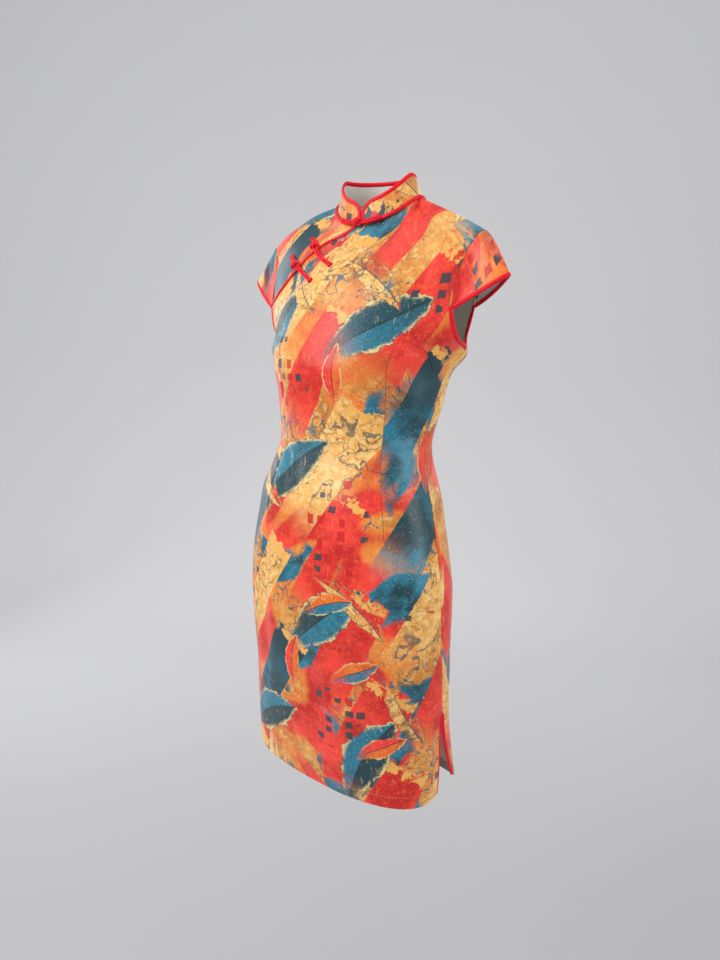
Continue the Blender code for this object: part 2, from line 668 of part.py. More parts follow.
def neck_path():
    line, panel_out = neckline()
    collar_out = unit((line - [0, COLLAR_CENTRE_Y, 0]) * np.array([1, 1, 0]) + [0, 0, 0.02])
    between = unit(panel_out + collar_out)
    reach = (PIPING + SEAM_GAP) / np.sum(between * panel_out, -1, keepdims=True)
    path = line + between * (reach + 2 * SEAM_GAP)
    both = np.concatenate([path, between], -1)
    ends = SEAM_GAP, travelled(path)[-1] - SEAM_GAP
    return np.concatenate([along_line(both, ends[:1]), both[1:-1], along_line(both, ends[1:])])


# %% Frogs: knotted buttons and their loops, each half a doubled cord
def knot_rings(centre, forward):
    """Centres and radii of a ball at the end of a cord."""
    turn = np.linspace(-0.62, 0.92, 6) * math.pi / 2
    return centre + np.outer(np.sin(turn) * KNOT, forward), np.cos(turn) * KNOT


def add_button_half(name, cord, out, centre):
    """A cord that ends in a knot."""
    cord = cord[np.linalg.norm(cord - centre, axis=-1) > KNOT * 1.05]
    rings, radii = knot_rings(centre, unit(centre - cord[-1]))
    path = np.concatenate([cord, rings])
    widths = np.concatenate([np.full(len(cord), FROG_WIDTH), radii])
    heights = np.concatenate([np.full(len(cord), FROG_DEPTH), radii])
    up = np.concatenate([out[:len(cord)], np.repeat(out[-1:], len(rings), axis=0)])
    add_object(name, tube_mesh(path, up, widths, heights, 8), RED)


def add_loop_half(name, cord, out):
    size = np.ones(len(cord))
    add_object(name, tube_mesh(cord, out, size * FROG_WIDTH, size * FROG_DEPTH, 6), RED)


def make_opening_frog(name, bar_end, crossing, tail_end, piping_path):
    bar_end, crossing, tail_end = (np.array(place) for place in (bar_end, crossing, tail_end))
    over = 2 * PIPING + SEAM_GAP - UNDERLAP_INSET + SEAM_GAP + FROG_DEPTH
    flat = SEAM_GAP * 2 + FROG_DEPTH
    share = np.linspace(0, 1, 9)
    place = bar_end + (crossing - bar_end) * share[:, None]
    level = flat + (over - flat) * ease((share - 0.62) / 0.25)
    base, out = on_panel("front", place[:, 0], place[:, 1])
    add_loop_half(f"{name}_loop", base + out * level[:, None], out)
    past = np.linspace(0, 1, 60)
    place = crossing + (tail_end - crossing) * past[:, None]
    line, line_out = on_panel("front", place[:, 0], place[:, 1])
    ball_level = KNOT + SEAM_GAP * 2 - UNDERLAP_INSET
    centres = line + line_out * ball_level
    clear = np.linalg.norm(centres[:, None] - piping_path[None], axis=-1).min(axis=1)
    first = int(np.flatnonzero(clear > KNOT + PIPING + SEAM_GAP)[0])
    share = np.linspace(1, past[first], 7)
    place = crossing + (tail_end - crossing) * share[:, None]
    base, out = on_panel("front", place[:, 0], place[:, 1])
    low = flat - underlap_inset(place[:, 0], place[:, 1])
    level = low + (ball_level - low) * ease(np.linspace(-0.8, 1, 7))
    add_button_half(f"{name}_button", base + out * level[:, None], out, centres[first])


def make_neck_frog(name, path):
    length = travelled(path)[-1]
    stand = PIPING + SEAM_GAP + FROG_DEPTH
    centre = along_line(path, [0.0])[0]
    centre = centre[:3] + centre[3:] * (PIPING + SEAM_GAP + KNOT)
    left = along_line(path, np.linspace(NECK_FROG_REACH["left"], KNOT + 3 * SEAM_GAP, 8))
    right = along_line(path, length - np.linspace(NECK_FROG_REACH["right"], KNOT, 8))
    left_out, right_out = unit(left[:, 3:]), unit(right[:, 3:])
    add_loop_half(f"{name}_loop", left[:, :3] + left_out * stand, left_out)
    add_button_half(f"{name}_button", right[:, :3] + right_out * stand, right_out, centre)


# %% The dress
for item in list(bpy.data.objects):
    bpy.data.objects.remove(item, do_unlink=True)
make_front()
make_underlap()
make_back()
for wearer_side in ("left", "right"):
    for bound_panel in ("front", "back"):
        make_slit_piping(wearer_side, bound_panel)
red_paths = []
for wearer_side, sign in (("left", 1.0), ("right", -1.0)):
    hem_path, hem_out = make_sleeve(f"sleeve_{wearer_side}", sign)
    piping(f"sleeve_piping_{wearer_side}", hem_path, hem_out)
    underarm_path, underarm_out = armhole_path(sign)
    underarm_path, underarm_out = trimmed(underarm_path, underarm_out, [halved(hem_path)],
                                          2 * PIPING + SEAM_GAP)
    piping(f"armhole_piping_{wearer_side}", underarm_path, underarm_out)
    red_paths += [halved(hem_path), underarm_path]
make_collar()
round_neck = neck_path()
piping("neck_piping", round_neck[:, :3], round_neck[:, 3:])
slant, slant_out = opening_path()
neck_fine = halved(halved(halved(round_neck[:, :3])))
slant, slant_out = trimmed(slant, slant_out, red_paths + [neck_fine], 2 * PIPING + SEAM_GAP)
piping("opening_piping", slant, slant_out)
slant_fine = halved(halved(slant))
for frog_name, bar_end, crossing, tail_end in FROGS:
    make_opening_frog(frog_name, bar_end, crossing, tail_end, slant_fine)
make_neck_frog("frog_collar", round_neck)
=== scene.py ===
# %% [markdown]
# # A short satin dress with a stand collar
#
# A fitted sheath in printed satin: front, back, an under piece beneath the slanting opening, cap sleeves,
# a stand collar, red satin piping on every edge but the hem, and knotted frogs. It is shown as it sits when
# worn, with nobody in it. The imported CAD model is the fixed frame, so every piece below is made in the same
# metres and in the same place as the solid that it stands for.

import math
from functools import partialmethod, reduce

import bpy
import numpy as np
from mathutils import Matrix, Vector


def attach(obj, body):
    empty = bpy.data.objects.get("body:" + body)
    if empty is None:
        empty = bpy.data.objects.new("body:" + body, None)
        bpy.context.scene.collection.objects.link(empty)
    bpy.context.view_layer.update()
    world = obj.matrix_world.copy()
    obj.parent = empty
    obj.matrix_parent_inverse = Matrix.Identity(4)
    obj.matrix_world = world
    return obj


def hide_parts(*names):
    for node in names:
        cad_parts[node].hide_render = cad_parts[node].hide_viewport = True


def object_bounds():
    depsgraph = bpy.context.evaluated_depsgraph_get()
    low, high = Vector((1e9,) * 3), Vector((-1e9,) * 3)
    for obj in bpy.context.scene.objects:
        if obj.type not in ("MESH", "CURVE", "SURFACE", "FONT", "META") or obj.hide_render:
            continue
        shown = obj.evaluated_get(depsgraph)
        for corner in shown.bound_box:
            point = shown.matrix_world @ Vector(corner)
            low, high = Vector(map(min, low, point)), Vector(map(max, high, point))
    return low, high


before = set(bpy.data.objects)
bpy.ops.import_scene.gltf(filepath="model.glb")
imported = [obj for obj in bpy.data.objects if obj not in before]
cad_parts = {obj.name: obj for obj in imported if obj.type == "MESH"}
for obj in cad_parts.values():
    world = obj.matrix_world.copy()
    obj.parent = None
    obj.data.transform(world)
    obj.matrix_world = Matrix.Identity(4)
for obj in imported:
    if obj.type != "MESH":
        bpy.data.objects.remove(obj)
cad_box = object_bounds()
print("CAD box", [round(c, 3) for c in cad_box[0]], [round(c, 3) for c in cad_box[1]])

# %% [markdown]
# ## Camera
#
# A camera could be placed by dragging it about, but a product picture is easier to repeat when its place is
# worked out: so far from the dress, so far round it, a little above it and tipped down. The three axes of the
# camera are then the columns of its matrix. It is made first, so that every later test render has one frame.

# %% Camera
LENS = 27.09                 # millimetres, on a 36 mm sensor
CAMERA_AWAY, CAMERA_ASIDE, CAMERA_HEIGHT = 1.15034, -0.00199, -0.22456
CAMERA_ROUND, CAMERA_DOWN, CAMERA_ROLL = (math.radians(turn) for turn in (38.1566, 10.1689, 2.6671))

level_back = np.array([math.sin(CAMERA_ROUND), -math.cos(CAMERA_ROUND), 0])
level_right = np.array([math.cos(CAMERA_ROUND), math.sin(CAMERA_ROUND), 0])
upward = np.array([0, 0, 1.0])
look = -level_back * math.cos(CAMERA_DOWN) - upward * math.sin(CAMERA_DOWN)
tipped = -level_back * math.sin(CAMERA_DOWN) + upward * math.cos(CAMERA_DOWN)
right = level_right * math.cos(CAMERA_ROLL) + tipped * math.sin(CAMERA_ROLL)
top = -level_right * math.sin(CAMERA_ROLL) + tipped * math.cos(CAMERA_ROLL)
place = level_back * CAMERA_AWAY + level_right * CAMERA_ASIDE + upward * CAMERA_HEIGHT

camera_data = bpy.data.cameras.new("camera")
camera_data.lens = LENS
camera_data.sensor_width = 36
camera_data.sensor_fit = "AUTO"
camera_data.clip_start, camera_data.clip_end = 0.05, 60
camera = bpy.data.objects.new("camera", camera_data)
bpy.context.scene.collection.objects.link(camera)
camera.matrix_world = Matrix([[*row] for row in np.column_stack([right, top, -look, place])] + [[0, 0, 0, 1]])
bpy.context.scene.camera = camera
print("camera at", np.round(place, 3))

# %% [markdown]
# ## Floor and light
#
# Satin shows its folds by what it mirrors, so the light matters as much as the cloth. One small lamp would
# give a hard hot line on each fold. Wide soft boxes give the long gentle sheen of a studio. The floor runs up
# into a wall through a curve, so there is no line behind the dress.

# %% Floor that sweeps up into a wall
FLOOR_DROP = 0.95            # the hem hangs this far above the floor
FLOOR_BACK, FLOOR_FRONT, FLOOR_WIDE, WALL_HIGH = 4.2, 6.0, 9.0, 7.0
SWEEP = 1.6                  # radius of the curve between floor and wall


def make_floor():
    low = cad_box[0].z - FLOOR_DROP
    line = [(-FLOOR_FRONT, low)]
    for turn in np.linspace(0, math.pi / 2, 17):
        line.append((FLOOR_BACK - SWEEP * (1 - math.sin(turn)), low + SWEEP * (1 - math.cos(turn))))
    line.append((FLOOR_BACK, WALL_HIGH))
    across = level_right * FLOOR_WIDE
    points = []
    for away, height in line:
        middle = -level_back * away + upward * height
        points += [tuple(middle - across), tuple(middle + across)]
    faces = [(2 * i, 2 * i + 1, 2 * i + 3, 2 * i + 2) for i in range(len(line) - 1)]
    mesh = bpy.data.meshes.new("floor")
    mesh.from_pydata(points, [], faces)
    mesh.shade_smooth()
    floor = bpy.data.objects.new("floor", mesh)
    bpy.context.scene.collection.objects.link(floor)
    return floor


floor = make_floor()
print("floor at", round(cad_box[0].z - FLOOR_DROP, 3))

# %% Soft boxes
def soft_box(name, round_turn, up_turn, away, size, watts):
    """An area light that faces the middle of the dress. Turns are degrees, round from the front."""
    aim = (cad_box[0] + cad_box[1]) / 2
    a, e = math.radians(round_turn), math.radians(up_turn)
    direction = Vector((math.sin(a) * math.cos(e), -math.cos(a) * math.cos(e), math.sin(e)))
    data = bpy.data.lights.new(name, "AREA")
    data.shape = "RECTANGLE"
    data.size, data.size_y = size
    data.energy = watts
    light = bpy.data.objects.new(name, data)
    light.location = aim + direction * away
    light.rotation_euler = (-direction).to_track_quat("-Z", "Y").to_euler()
    bpy.context.scene.collection.objects.link(light)


#         name         round  up  away   size        watts
for box in (
    ("key_light",      -24,   26, 3.0, (2.0, 2.4),  62),
    ("fill_light",     100,   14, 3.2, (1.6, 2.6),  35),
    ("side_light",     -95,   12, 3.2, (1.6, 2.6),  18),
    ("top_light",       20,   85, 3.0, (2.6, 2.6),  10),
    ("back_light",     180,   20, 3.0, (3.0, 2.0),  10),
):
    soft_box(*box)

world = bpy.data.worlds.new("studio")
world.use_nodes = True
sky = world.node_tree.nodes["Background"]
sky.inputs["Color"].default_value = (0.98, 0.985, 1.0, 1)
sky.inputs["Strength"].default_value = 0.62
bpy.context.scene.world = world
bpy.context.scene.view_settings.view_transform = "Standard"

# %% [markdown]
# ## The cut of the dress
#
# A dress could be sculpted, but a tailor works from a pattern, and so do these cells. Each panel is a grid:
# across runs from -1 at the wearer's right to 1 at the left, and height runs up its centre line. The sizes
# are the same named ones that the solids are made from, so the fine cloth lies exactly on its solid.

# %% Sizes of the pattern
WALL = 0.0016                # thickness of the lined satin
SEAM_GAP = 0.0003            # left between two pieces that are sewn together
PIPING = 0.0022              # radius of the satin piping
NECK_POINT = (0.0728, 0.0110, 0.0)           # where the shoulder seam meets the collar
NECK_CENTRE = {"front": (-0.0310, -0.0410),  # y and z of the neckline at the centre line
               "back": (0.0640, 0.0025)}
NECK_DIP = {"front": 1.3, "back": 1.5}       # how quickly the neckline leaves its lowest point
NECK_SHARE = 0.36            # share of a panel's half width that its neckline takes
SHOULDER_TIP = (0.1910, 0.0025, -0.0535)
SHOULDER_SLOPE = {"left": 0.92, "right": 0.45}   # share of the seam's drop that is spread evenly along it
ROUNDNESS = {"front": 2.35, "back": 2.20}    # 2 is an ellipse, more is squarer
OUTWARD = {"front": -1.0, "back": 1.0}       # sign of y on the outside of a panel

# Levels round the body. The y columns are at the centre front, the centre back and the side seam.
#             level        height  half_width front_y  back_y   side_y
BODY_LEVELS = (
    ("hem",        -0.920, 0.1885, -0.0905, 0.0985, 0.0070),
    ("slit_top",   -0.771, 0.1810, -0.1175, 0.0940, 0.0000),
    ("hip",        -0.590, 0.1810, -0.1330, 0.0950, -0.0240),
    ("high_hip",   -0.460, 0.1600, -0.1290, 0.0800, -0.0290),
    ("waist",      -0.356, 0.1275, -0.1140, 0.0670, -0.0130),
    ("under_bust", -0.300, 0.1370, -0.1175, 0.0765, -0.0060),
    ("bust",       -0.250, 0.1455, -0.1280, 0.0865, 0.0010),
    ("underarm",   -0.223, 0.1610, -0.1245, 0.0890, 0.0200),
)
# Levels above the underarm, where a panel ends at the armhole. Length runs up the panel from the underarm.
#          level          length  edge_x  edge_y   edge_z  centre_y centre_z
UPPER_LEVELS = {
    "front": (
        ("armhole_low",  0.031, 0.1740, -0.0280, -0.2020, -0.1185, -0.1920),
        ("chest",        0.073, 0.1705, -0.0420, -0.1570, -0.1065, -0.1550),
        ("yoke",         0.136, 0.1790, -0.0220, -0.0880, -0.0780, -0.0980),
    ),
    "back": (
        ("armhole_low",  0.031, 0.1575, 0.0320, -0.1940, 0.0980, -0.1880),
        ("chest",        0.073, 0.1612, 0.0415, -0.1500, 0.1020, -0.1450),
        ("yoke",         0.136, 0.1760, 0.0360, -0.0880, 0.0930, -0.0760),
    ),
}
BELOW_NECK = 0.191           # length up the panel of the row under the neckline
NECK_LENGTH = 0.218          # length up the panel of its top row
NECK_FLARE = (0.010, 0.022)  # out and down from the neckline to the row below it
SHOULDER_FLARE = (0.017, 0.009)              # the same, at the shoulder tip

# The slits. The loose corner of each panel swings from the side seam by this much at the hem.
#         (side of the wearer, panel)   to_x     to_y    up
SLIT_SWING = {
    ("left", "front"): (-0.0170, 0.0120, 0.0000),
    ("left", "back"): (-0.0070, 0.0360, 0.0250),
    ("right", "front"): (-0.0150, 0.0080, 0.0000),
    ("right", "back"): (-0.0080, 0.0260, 0.0220),
}
SLIT_CURVE = 1.5             # above 1, a slit opens slowly at its top
SLIT_REACH = {"front": 0.5, "back": 0.1}     # share of the half width at which the swing starts

# Soft folds in the panels: across is from -1 at the wearer's right to 1 at the left.
#    panel    from_across to_across from_z   to_z    width   depth
FOLDS = (
    ("front", -0.55, -0.50, -0.400, -0.860, 0.020, 0.0020),
    ("front", -0.15, -0.30, -0.620, -0.900, 0.030, 0.0025),
    ("front", 0.42, 0.52, -0.400, -0.640, 0.018, 0.0016),
    ("front", 0.30, 0.40, -0.700, -0.905, 0.034, 0.0022),
    ("front", 0.78, 0.66, -0.560, -0.740, 0.026, 0.0018),
    ("front", 0.52, 0.95, -0.205, -0.275, 0.016, 0.0008),
    ("front", -0.52, -0.95, -0.205, -0.275, 0.016, 0.0008),
    ("back", -0.42, -0.50, -0.300, -0.520, 0.020, 0.0022),
    ("back", 0.42, 0.50, -0.300, -0.520, 0.020, 0.0022),
    ("back", 0.10, 0.22, -0.640, -0.890, 0.034, 0.0026),
    ("back", -0.35, -0.25, -0.660, -0.895, 0.030, 0.0022),
    ("back", -0.85, 0.80, -0.345, -0.372, 0.014, 0.0020),
)

# The front opening leaves the neckline at the centre front and falls to the wearer's right armhole.
OPENING_STEEPNESS = 1.80     # how fast it falls near the neck
OPENING_LEVELLING = 6        # how sharply it levels out towards the armhole
OPENING_END = 0.071          # length up the panel where it meets the armhole
UNDERLAP = 0.022             # how far the under piece runs beneath the flap
UNDERLAP_INSET = WALL + SEAM_GAP
UNDERLAP_LEVEL_REACH = 0.010 # it lies low for this far above the flap's edge, then rises over
UNDERLAP_RISE = 0.040        # this length

SLIT_NOTCH = 0.012           # length over which the bound edges step back from the side seam

SLEEVE_JOIN = 0.071          # length up each panel where the sleeve hem starts
SLEEVE_TIP = (0.2385, -0.0065, -0.1130)          # middle of the sleeve hem
SLEEVE_END_WIDTH = 0.0034    # width of the sleeve where it starts
SLEEVE_NOSE = 0.30           # how round the hem is at its middle: 0 is a sharp point
SLEEVE_BELLY = (0.001, 0.005, 0.001)        # how far the back half of the hem bellies out
SLEEVE_CROWN = 0.25          # share of its drop by which the sleeve first runs straight out
SLEEVE_FULL_LENGTH = 0.020   # where it is shorter than this, it follows the panel beside it
EASE_PUCKERS = 7
EASE_DEPTH = 0.0011
EASE_REACH = 0.45            # share of the sleeve's length down which the puckers fade

COLLAR_HEIGHT = 0.0290
COLLAR_TAPER = 0.87          # size of its top edge against its bottom edge
COLLAR_LEAN = -0.005         # its top stands this far forward of its base
COLLAR_CENTRE_Y = 0.014
COLLAR_TAB = 0.020           # reach of the rounding at each front end
COLLAR_TAB_DROP = 0.0145

# Each frog: the end of its loop half on the flap, where it crosses the opening, and the end of its button
# half on the under piece, all as (across, height).
FROGS = (
    ("frog_chest", (-0.045, -0.0955), (-0.245, -0.0690), (-0.430, -0.0600)),
    ("frog_side", (-0.170, -0.1190), (-0.350, -0.0950), (-0.520, -0.0800)),
)
NECK_FROG_REACH = {"left": 0.034, "right": 0.031}   # how far the collar's frog runs from the centre front


# %% [markdown]
# A level is a short row of sizes round the body. Between the levels a curve runs that never overshoots, as
# a ruler bent through pins would, so the waist stays where the table puts it.

# %% Curves through the levels
def smooth_rows(knots, rows, at, corner, sharpness):
    """Read a table of rows at other heights, with a smooth curve that never overshoots between two rows.

    rows is (levels, points, values); at holds one height for each point. At the corner level a point of
    full sharpness leaves in the direction in which it arrived from below.
    """
    steps = np.diff(knots)[:, None, None]
    slopes = np.diff(rows, axis=0) / steps
    tangents = np.zeros_like(rows)
    before, after = slopes[:-1], slopes[1:]
    same_way = before * after > 0
    weight_a = 2 * steps[1:] + steps[:-1]
    weight_b = steps[1:] + 2 * steps[:-1]
    safe_before = np.where(same_way, before, 1.0)
    safe_after = np.where(same_way, after, 1.0)
    mean = (weight_a + weight_b) / (weight_a / safe_before + weight_b / safe_after)
    tangents[1:-1] = np.where(same_way, mean, 0.0)
    tangents[0] = slopes[0]
    tangents[-1] = slopes[-1]
    tangents[corner] += (slopes[corner - 1] - tangents[corner]) * sharpness[:, None]
    span = np.clip(np.searchsorted(knots, at, side="right") - 1, 0, len(knots) - 2)
    point = np.arange(rows.shape[1])
    step = np.diff(knots)[span]
    share = ((at - knots[span]) / step)[:, None]
    step = step[:, None]
    return ((2 * share ** 3 - 3 * share ** 2 + 1) * rows[span, point]
            + (share ** 3 - 2 * share ** 2 + share) * step * tangents[span, point]
            + (3 * share ** 2 - 2 * share ** 3) * rows[span + 1, point]
            + (share ** 3 - share ** 2) * step * tangents[span + 1, point])


def ease(value):
    """Go smoothly from 0 to 1."""
    value = np.clip(value, 0.0, 1.0)
    return value * value * (3 - 2 * value)


def unit(vectors):
    return vectors / np.linalg.norm(vectors, axis=-1, keepdims=True)


def travelled(line):
    """The distance along a line of points at each of them. A grid is measured down its columns."""
    steps = np.linalg.norm(np.diff(line[..., :3], axis=0), axis=-1)
    return np.concatenate([np.zeros_like(steps[:1]), np.cumsum(steps, axis=0)])


def along_line(line, at):
    """Read a line of points at distances along it."""
    far = travelled(line)
    return np.stack([np.interp(at, far, column) for column in line.T], -1)


UNDERARM_HEIGHT = BODY_LEVELS[-1][1]
HEM_HEIGHT = BODY_LEVELS[0][1]
SLIT_HEIGHT = BODY_LEVELS[1][1]
UPPER_ARC, UPPER_SHAPE = 1.35, 2.2   # how far round and how squarely a row runs to the armhole
SEAM_SHARPNESS = 8           # how closely the corner at the underarm keeps to the side seam
ACROSS = 0.16                # metres for 1 of across, where a fold's width is measured
# A panel is measured up its centre line: by height as far as the underarm, then by length beyond it.
KNOTS = np.array([level[1] for level in BODY_LEVELS]
                 + [UNDERARM_HEIGHT + level[1] for level in UPPER_LEVELS["front"]]
                 + [UNDERARM_HEIGHT + BELOW_NECK, UNDERARM_HEIGHT + NECK_LENGTH])
TOP = KNOTS[-1]


def body_row(level, panel, across):
    """Half of a rounded ring round the body, from one side seam to the other."""
    height, half_width, front_y, back_y, side_y = level[1:]
    turn = across * math.pi / 2
    power = 2 / ROUNDNESS[panel]
    centre_y = front_y if panel == "front" else back_y
    x = half_width * np.sign(turn) * np.abs(np.sin(turn)) ** power
    y = side_y + (centre_y - side_y) * np.abs(np.cos(turn)) ** power
    return np.stack([x, y, np.full_like(x, height)], -1)


def upper_row(level, across):
    """A row that ends at the armhole on each side."""
    edge_x, edge_y, edge_z, centre_y, centre_z = level[2:]
    wide = np.sin(np.abs(across) * UPPER_ARC) / math.sin(UPPER_ARC)
    y = centre_y + (edge_y - centre_y) * wide ** UPPER_SHAPE
    z = centre_z + (edge_z - centre_z) * wide ** 2
    return np.stack([np.sign(across) * edge_x * wide, y, z], -1)


def top_row(panel, across):
    """The neckline in the middle and a shoulder seam on each side."""
    wide = np.abs(across)
    turn = np.clip(wide / NECK_SHARE, 0, 1) * math.pi / 2
    centre_y, centre_z = NECK_CENTRE[panel]
    point_x, point_y, point_z = NECK_POINT
    dip = np.maximum(np.cos(turn), 0.0)
    neck = np.stack([point_x * np.sin(turn), point_y + (centre_y - point_y) * dip,
                     point_z + (centre_z - point_z) * dip ** NECK_DIP[panel]], -1)
    along = np.clip((wide - NECK_SHARE) / (1 - NECK_SHARE), 0, 1)
    tip_x, tip_y, tip_z = SHOULDER_TIP
    even = np.where(across > 0, SHOULDER_SLOPE["left"], SHOULDER_SLOPE["right"])
    fall = even * along + (1 - even) * along ** 3
    seam = np.stack([point_x + (tip_x - point_x) * along, point_y + (tip_y - point_y) * along,
                     point_z + (tip_z - point_z) * fall], -1)
    row = np.where((wide > NECK_SHARE)[:, None], seam, neck)
    row[:, 0] *= np.sign(across)
    return row


def level_rows(panel, across):
    rows = [body_row(level, panel, across) for level in BODY_LEVELS]
    rows += [upper_row(level, across) for level in UPPER_LEVELS[panel]]
    top = top_row(panel, across)
    side = ease((np.abs(across) - NECK_SHARE * 0.6) / (1 - NECK_SHARE * 0.6))[:, None]
    out, down = (np.array(pair) for pair in zip(NECK_FLARE, SHOULDER_FLARE))
    flare = (1 - side) * np.array([0, OUTWARD[panel] * out[0], -down[0]])
    flare = flare + side * np.array([0, OUTWARD[panel] * out[1], -down[1]])
    return np.array(rows + [top + flare, top])


def smooth_form(panel, across, height):
    """The panel's outer face without its folds and loose corners.

    The side seam is the same curve on both panels, although they part above the underarm.
    """
    underarm = len(BODY_LEVELS) - 1
    return smooth_rows(KNOTS, level_rows(panel, across), height, underarm, across ** SEAM_SHARPNESS)


def slit_swing(panel, across, height):
    open_share = np.clip((SLIT_HEIGHT - height) / (SLIT_HEIGHT - HEM_HEIGHT), 0, 1) ** SLIT_CURVE
    reach = SLIT_REACH[panel]
    edge_share = np.clip((np.abs(across) - reach) / (1 - reach), 0, 1) ** 2
    left, right = (np.array(SLIT_SWING[side, panel]) for side in ("left", "right"))
    right = right * np.array([-1, 1, 1])
    swing = np.where((across > 0)[:, None], left, right)
    return swing * (open_share * edge_share)[:, None]


def swung_form(panel, across, height):
    return smooth_form(panel, across, height) + slit_swing(panel, across, height)


def outward(panel, across, height):
    """The outward direction at points of a panel."""
    step = 0.002
    left, right = np.maximum(across - step, -1), np.minimum(across + step, 1)
    left = np.where(across >= NECK_SHARE - 1e-6, np.maximum(left, NECK_SHARE), left)
    right = np.where(across <= -NECK_SHARE + 1e-6, np.minimum(right, -NECK_SHARE), right)
    low, high = np.maximum(height - step, HEM_HEIGHT), np.minimum(height + step, TOP)
    sideways = swung_form(panel, right, height) - swung_form(panel, left, height)
    upwards = swung_form(panel, across, high) - swung_form(panel, across, low)
    normal = np.cross(sideways, upwards) * -OUTWARD[panel]
    wide = np.abs(across)
    at_seam = (wide > 0.999) & (height <= UNDERARM_HEIGHT + 1e-6) & (height > SLIT_HEIGHT - SLIT_NOTCH / 2)
    at_seam |= (wide >= NECK_SHARE - 1e-6) & (height > TOP - 1e-6)
    normal[at_seam, 1] = 0.0
    return unit(normal)


# %% Points of a panel
def fold_depth(panel, across, height):
    depth = np.zeros_like(across)
    for fold_panel, from_across, to_across, from_z, to_z, width, most in FOLDS:
        if fold_panel != panel:
            continue
        if abs(to_across - from_across) < 1.0:
            along = (height - from_z) / (to_z - from_z)
            middle = from_across + (to_across - from_across) * along
            apart = (across - middle) * ACROSS
        else:
            along = (across - from_across) / (to_across - from_across)
            apart = height - (from_z + (to_z - from_z) * along)
        fade = ease(along * 4) * ease((1 - along) * 4)
        depth += most * fade * np.exp(-(apart / width) ** 2)
    return depth


def on_panel(panel, across, height):
    """Points of a panel's outer face, and the outward direction at each."""
    across, height = np.broadcast_arrays(np.asarray(across, float), np.asarray(height, float))
    shape = across.shape
    across, height = across.ravel(), height.ravel()
    out = outward(panel, across, height)
    points = swung_form(panel, across, height) - out * fold_depth(panel, across, height)[:, None]
    points[:, 1] += OUTWARD[panel] * SEAM_GAP / 2
    return points.reshape(shape + (3,)), out.reshape(shape + (3,))


def opening_height(across):
    """Height of the opening's edge up the front, for across from -1 to 0."""
    steep = np.abs(across) * OPENING_STEEPNESS
    fall = steep / (1 + steep ** OPENING_LEVELLING) ** (1 / OPENING_LEVELLING)
    most = OPENING_STEEPNESS / (1 + OPENING_STEEPNESS ** OPENING_LEVELLING) ** (1 / OPENING_LEVELLING)
    return TOP + (UNDERARM_HEIGHT + OPENING_END - TOP) * fall / most


# %% [markdown]
# ## Cloth
#
# Cloth could be one sheet with a Solidify modifier. Here each piece gets its two faces and its rim directly,
# because the outside is printed satin, the inside is pale lining, and the hem is thicker than the rest. The
# place of each point on the flat pattern is kept with it, so that the print runs over the piece as it would
# over cut cloth, whatever the folds do.

# %% Two faces and a rim
LINED = 0.0013               # thickness of satin and lining together
made = {}


def keep(piece, slot, *nodes):
    """Set a finished piece on the frame in place of its solids."""
    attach(piece, "root")
    if nodes:
        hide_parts(*nodes)
    made[piece.name] = piece


def quads_between(number):
    """The quads of a grid whose points are numbered like this."""
    return np.stack([number[:-1, :-1], number[:-1, 1:], number[1:, 1:], number[1:, :-1]], -1).reshape(-1, 4)


def new_object(name, points, faces):
    mesh = bpy.data.meshes.new(name)
    mesh.from_pydata(points.tolist(), [], faces)
    mesh.validate()
    item = bpy.data.objects.new(name, mesh)
    bpy.context.scene.collection.objects.link(item)
    return item


def area_of(points):
    """Area of a grid of points."""
    one, two = points[1:, 1:] - points[:-1, :-1], points[1:, :-1] - points[:-1, 1:]
    return np.linalg.norm(np.cross(one, two), axis=-1).sum() / 2


def keep_vectors(mesh, name, values):
    layer = mesh.attributes.new(name, "FLOAT_VECTOR", "POINT")
    layer.data.foreach_set("vector", np.asarray(values, np.float32).ravel())


def sew(name, outer, out, cut, seams, sheet_of, thick=LINED, taken=None, faced=0):
    """Cloth under a grid of outer points. cut, seams and taken hold a vector for each grid point; sheet_of is
    the low corner and the size of the piece's place on the flat pattern; faced marks the quads that are faced
    with a strip of darker cloth inside."""
    inner = outer - out * np.reshape(thick, (-1, 1, 1))
    count = outer.shape[0] * outer.shape[1]
    number = np.arange(count).reshape(outer.shape[:2])
    quads = quads_between(number)
    rim = np.concatenate([number[0], number[1:, -1], number[-1, -2::-1], number[-2:0:-1, 0]])
    after = np.roll(rim, -1)
    edge = np.stack([after, rim, rim + count, after + count], -1)
    faces = np.concatenate([quads, quads[:, ::-1] + count, edge])
    facing = np.cross(outer[0, 1] - outer[0, 0], outer[1, 0] - outer[0, 0]) @ out[0, 0]
    if facing < 0:
        faces = faces[:, ::-1]
    piece = new_object(name, np.concatenate([outer.reshape(-1, 3), inner.reshape(-1, 3)]), faces.tolist())
    mesh = piece.data
    taken = np.zeros_like(cut) if taken is None else taken
    for key, values in (("cut", cut), ("seams", seams), ("taken", taken)):
        keep_vectors(mesh, key, np.concatenate([values.reshape(-1, 3)] * 2))
    inside = np.zeros(len(faces), np.int32)
    inside[len(quads):2 * len(quads)] = 1 + np.ravel(faced)
    mesh.polygons.foreach_set("material_index", inside)
    low, size = (np.array(pair) for pair in sheet_of)
    spot = (cut.reshape(-1, 3)[:, :2] - low) / size * [0.48, 0.98] + 0.01
    spot = np.concatenate([spot, spot + [0.50, 0.0]])
    corner = np.zeros(len(mesh.loops), np.int32)
    mesh.loops.foreach_get("vertex_index", corner)
    bake = mesh.uv_layers.new(name="OFBake")
    bake.uv.foreach_set("vector", spot[corner].astype(np.float32).ravel())
    mesh.shade_smooth()
    mesh.set_sharp_from_angle(angle=math.radians(50))
    return piece


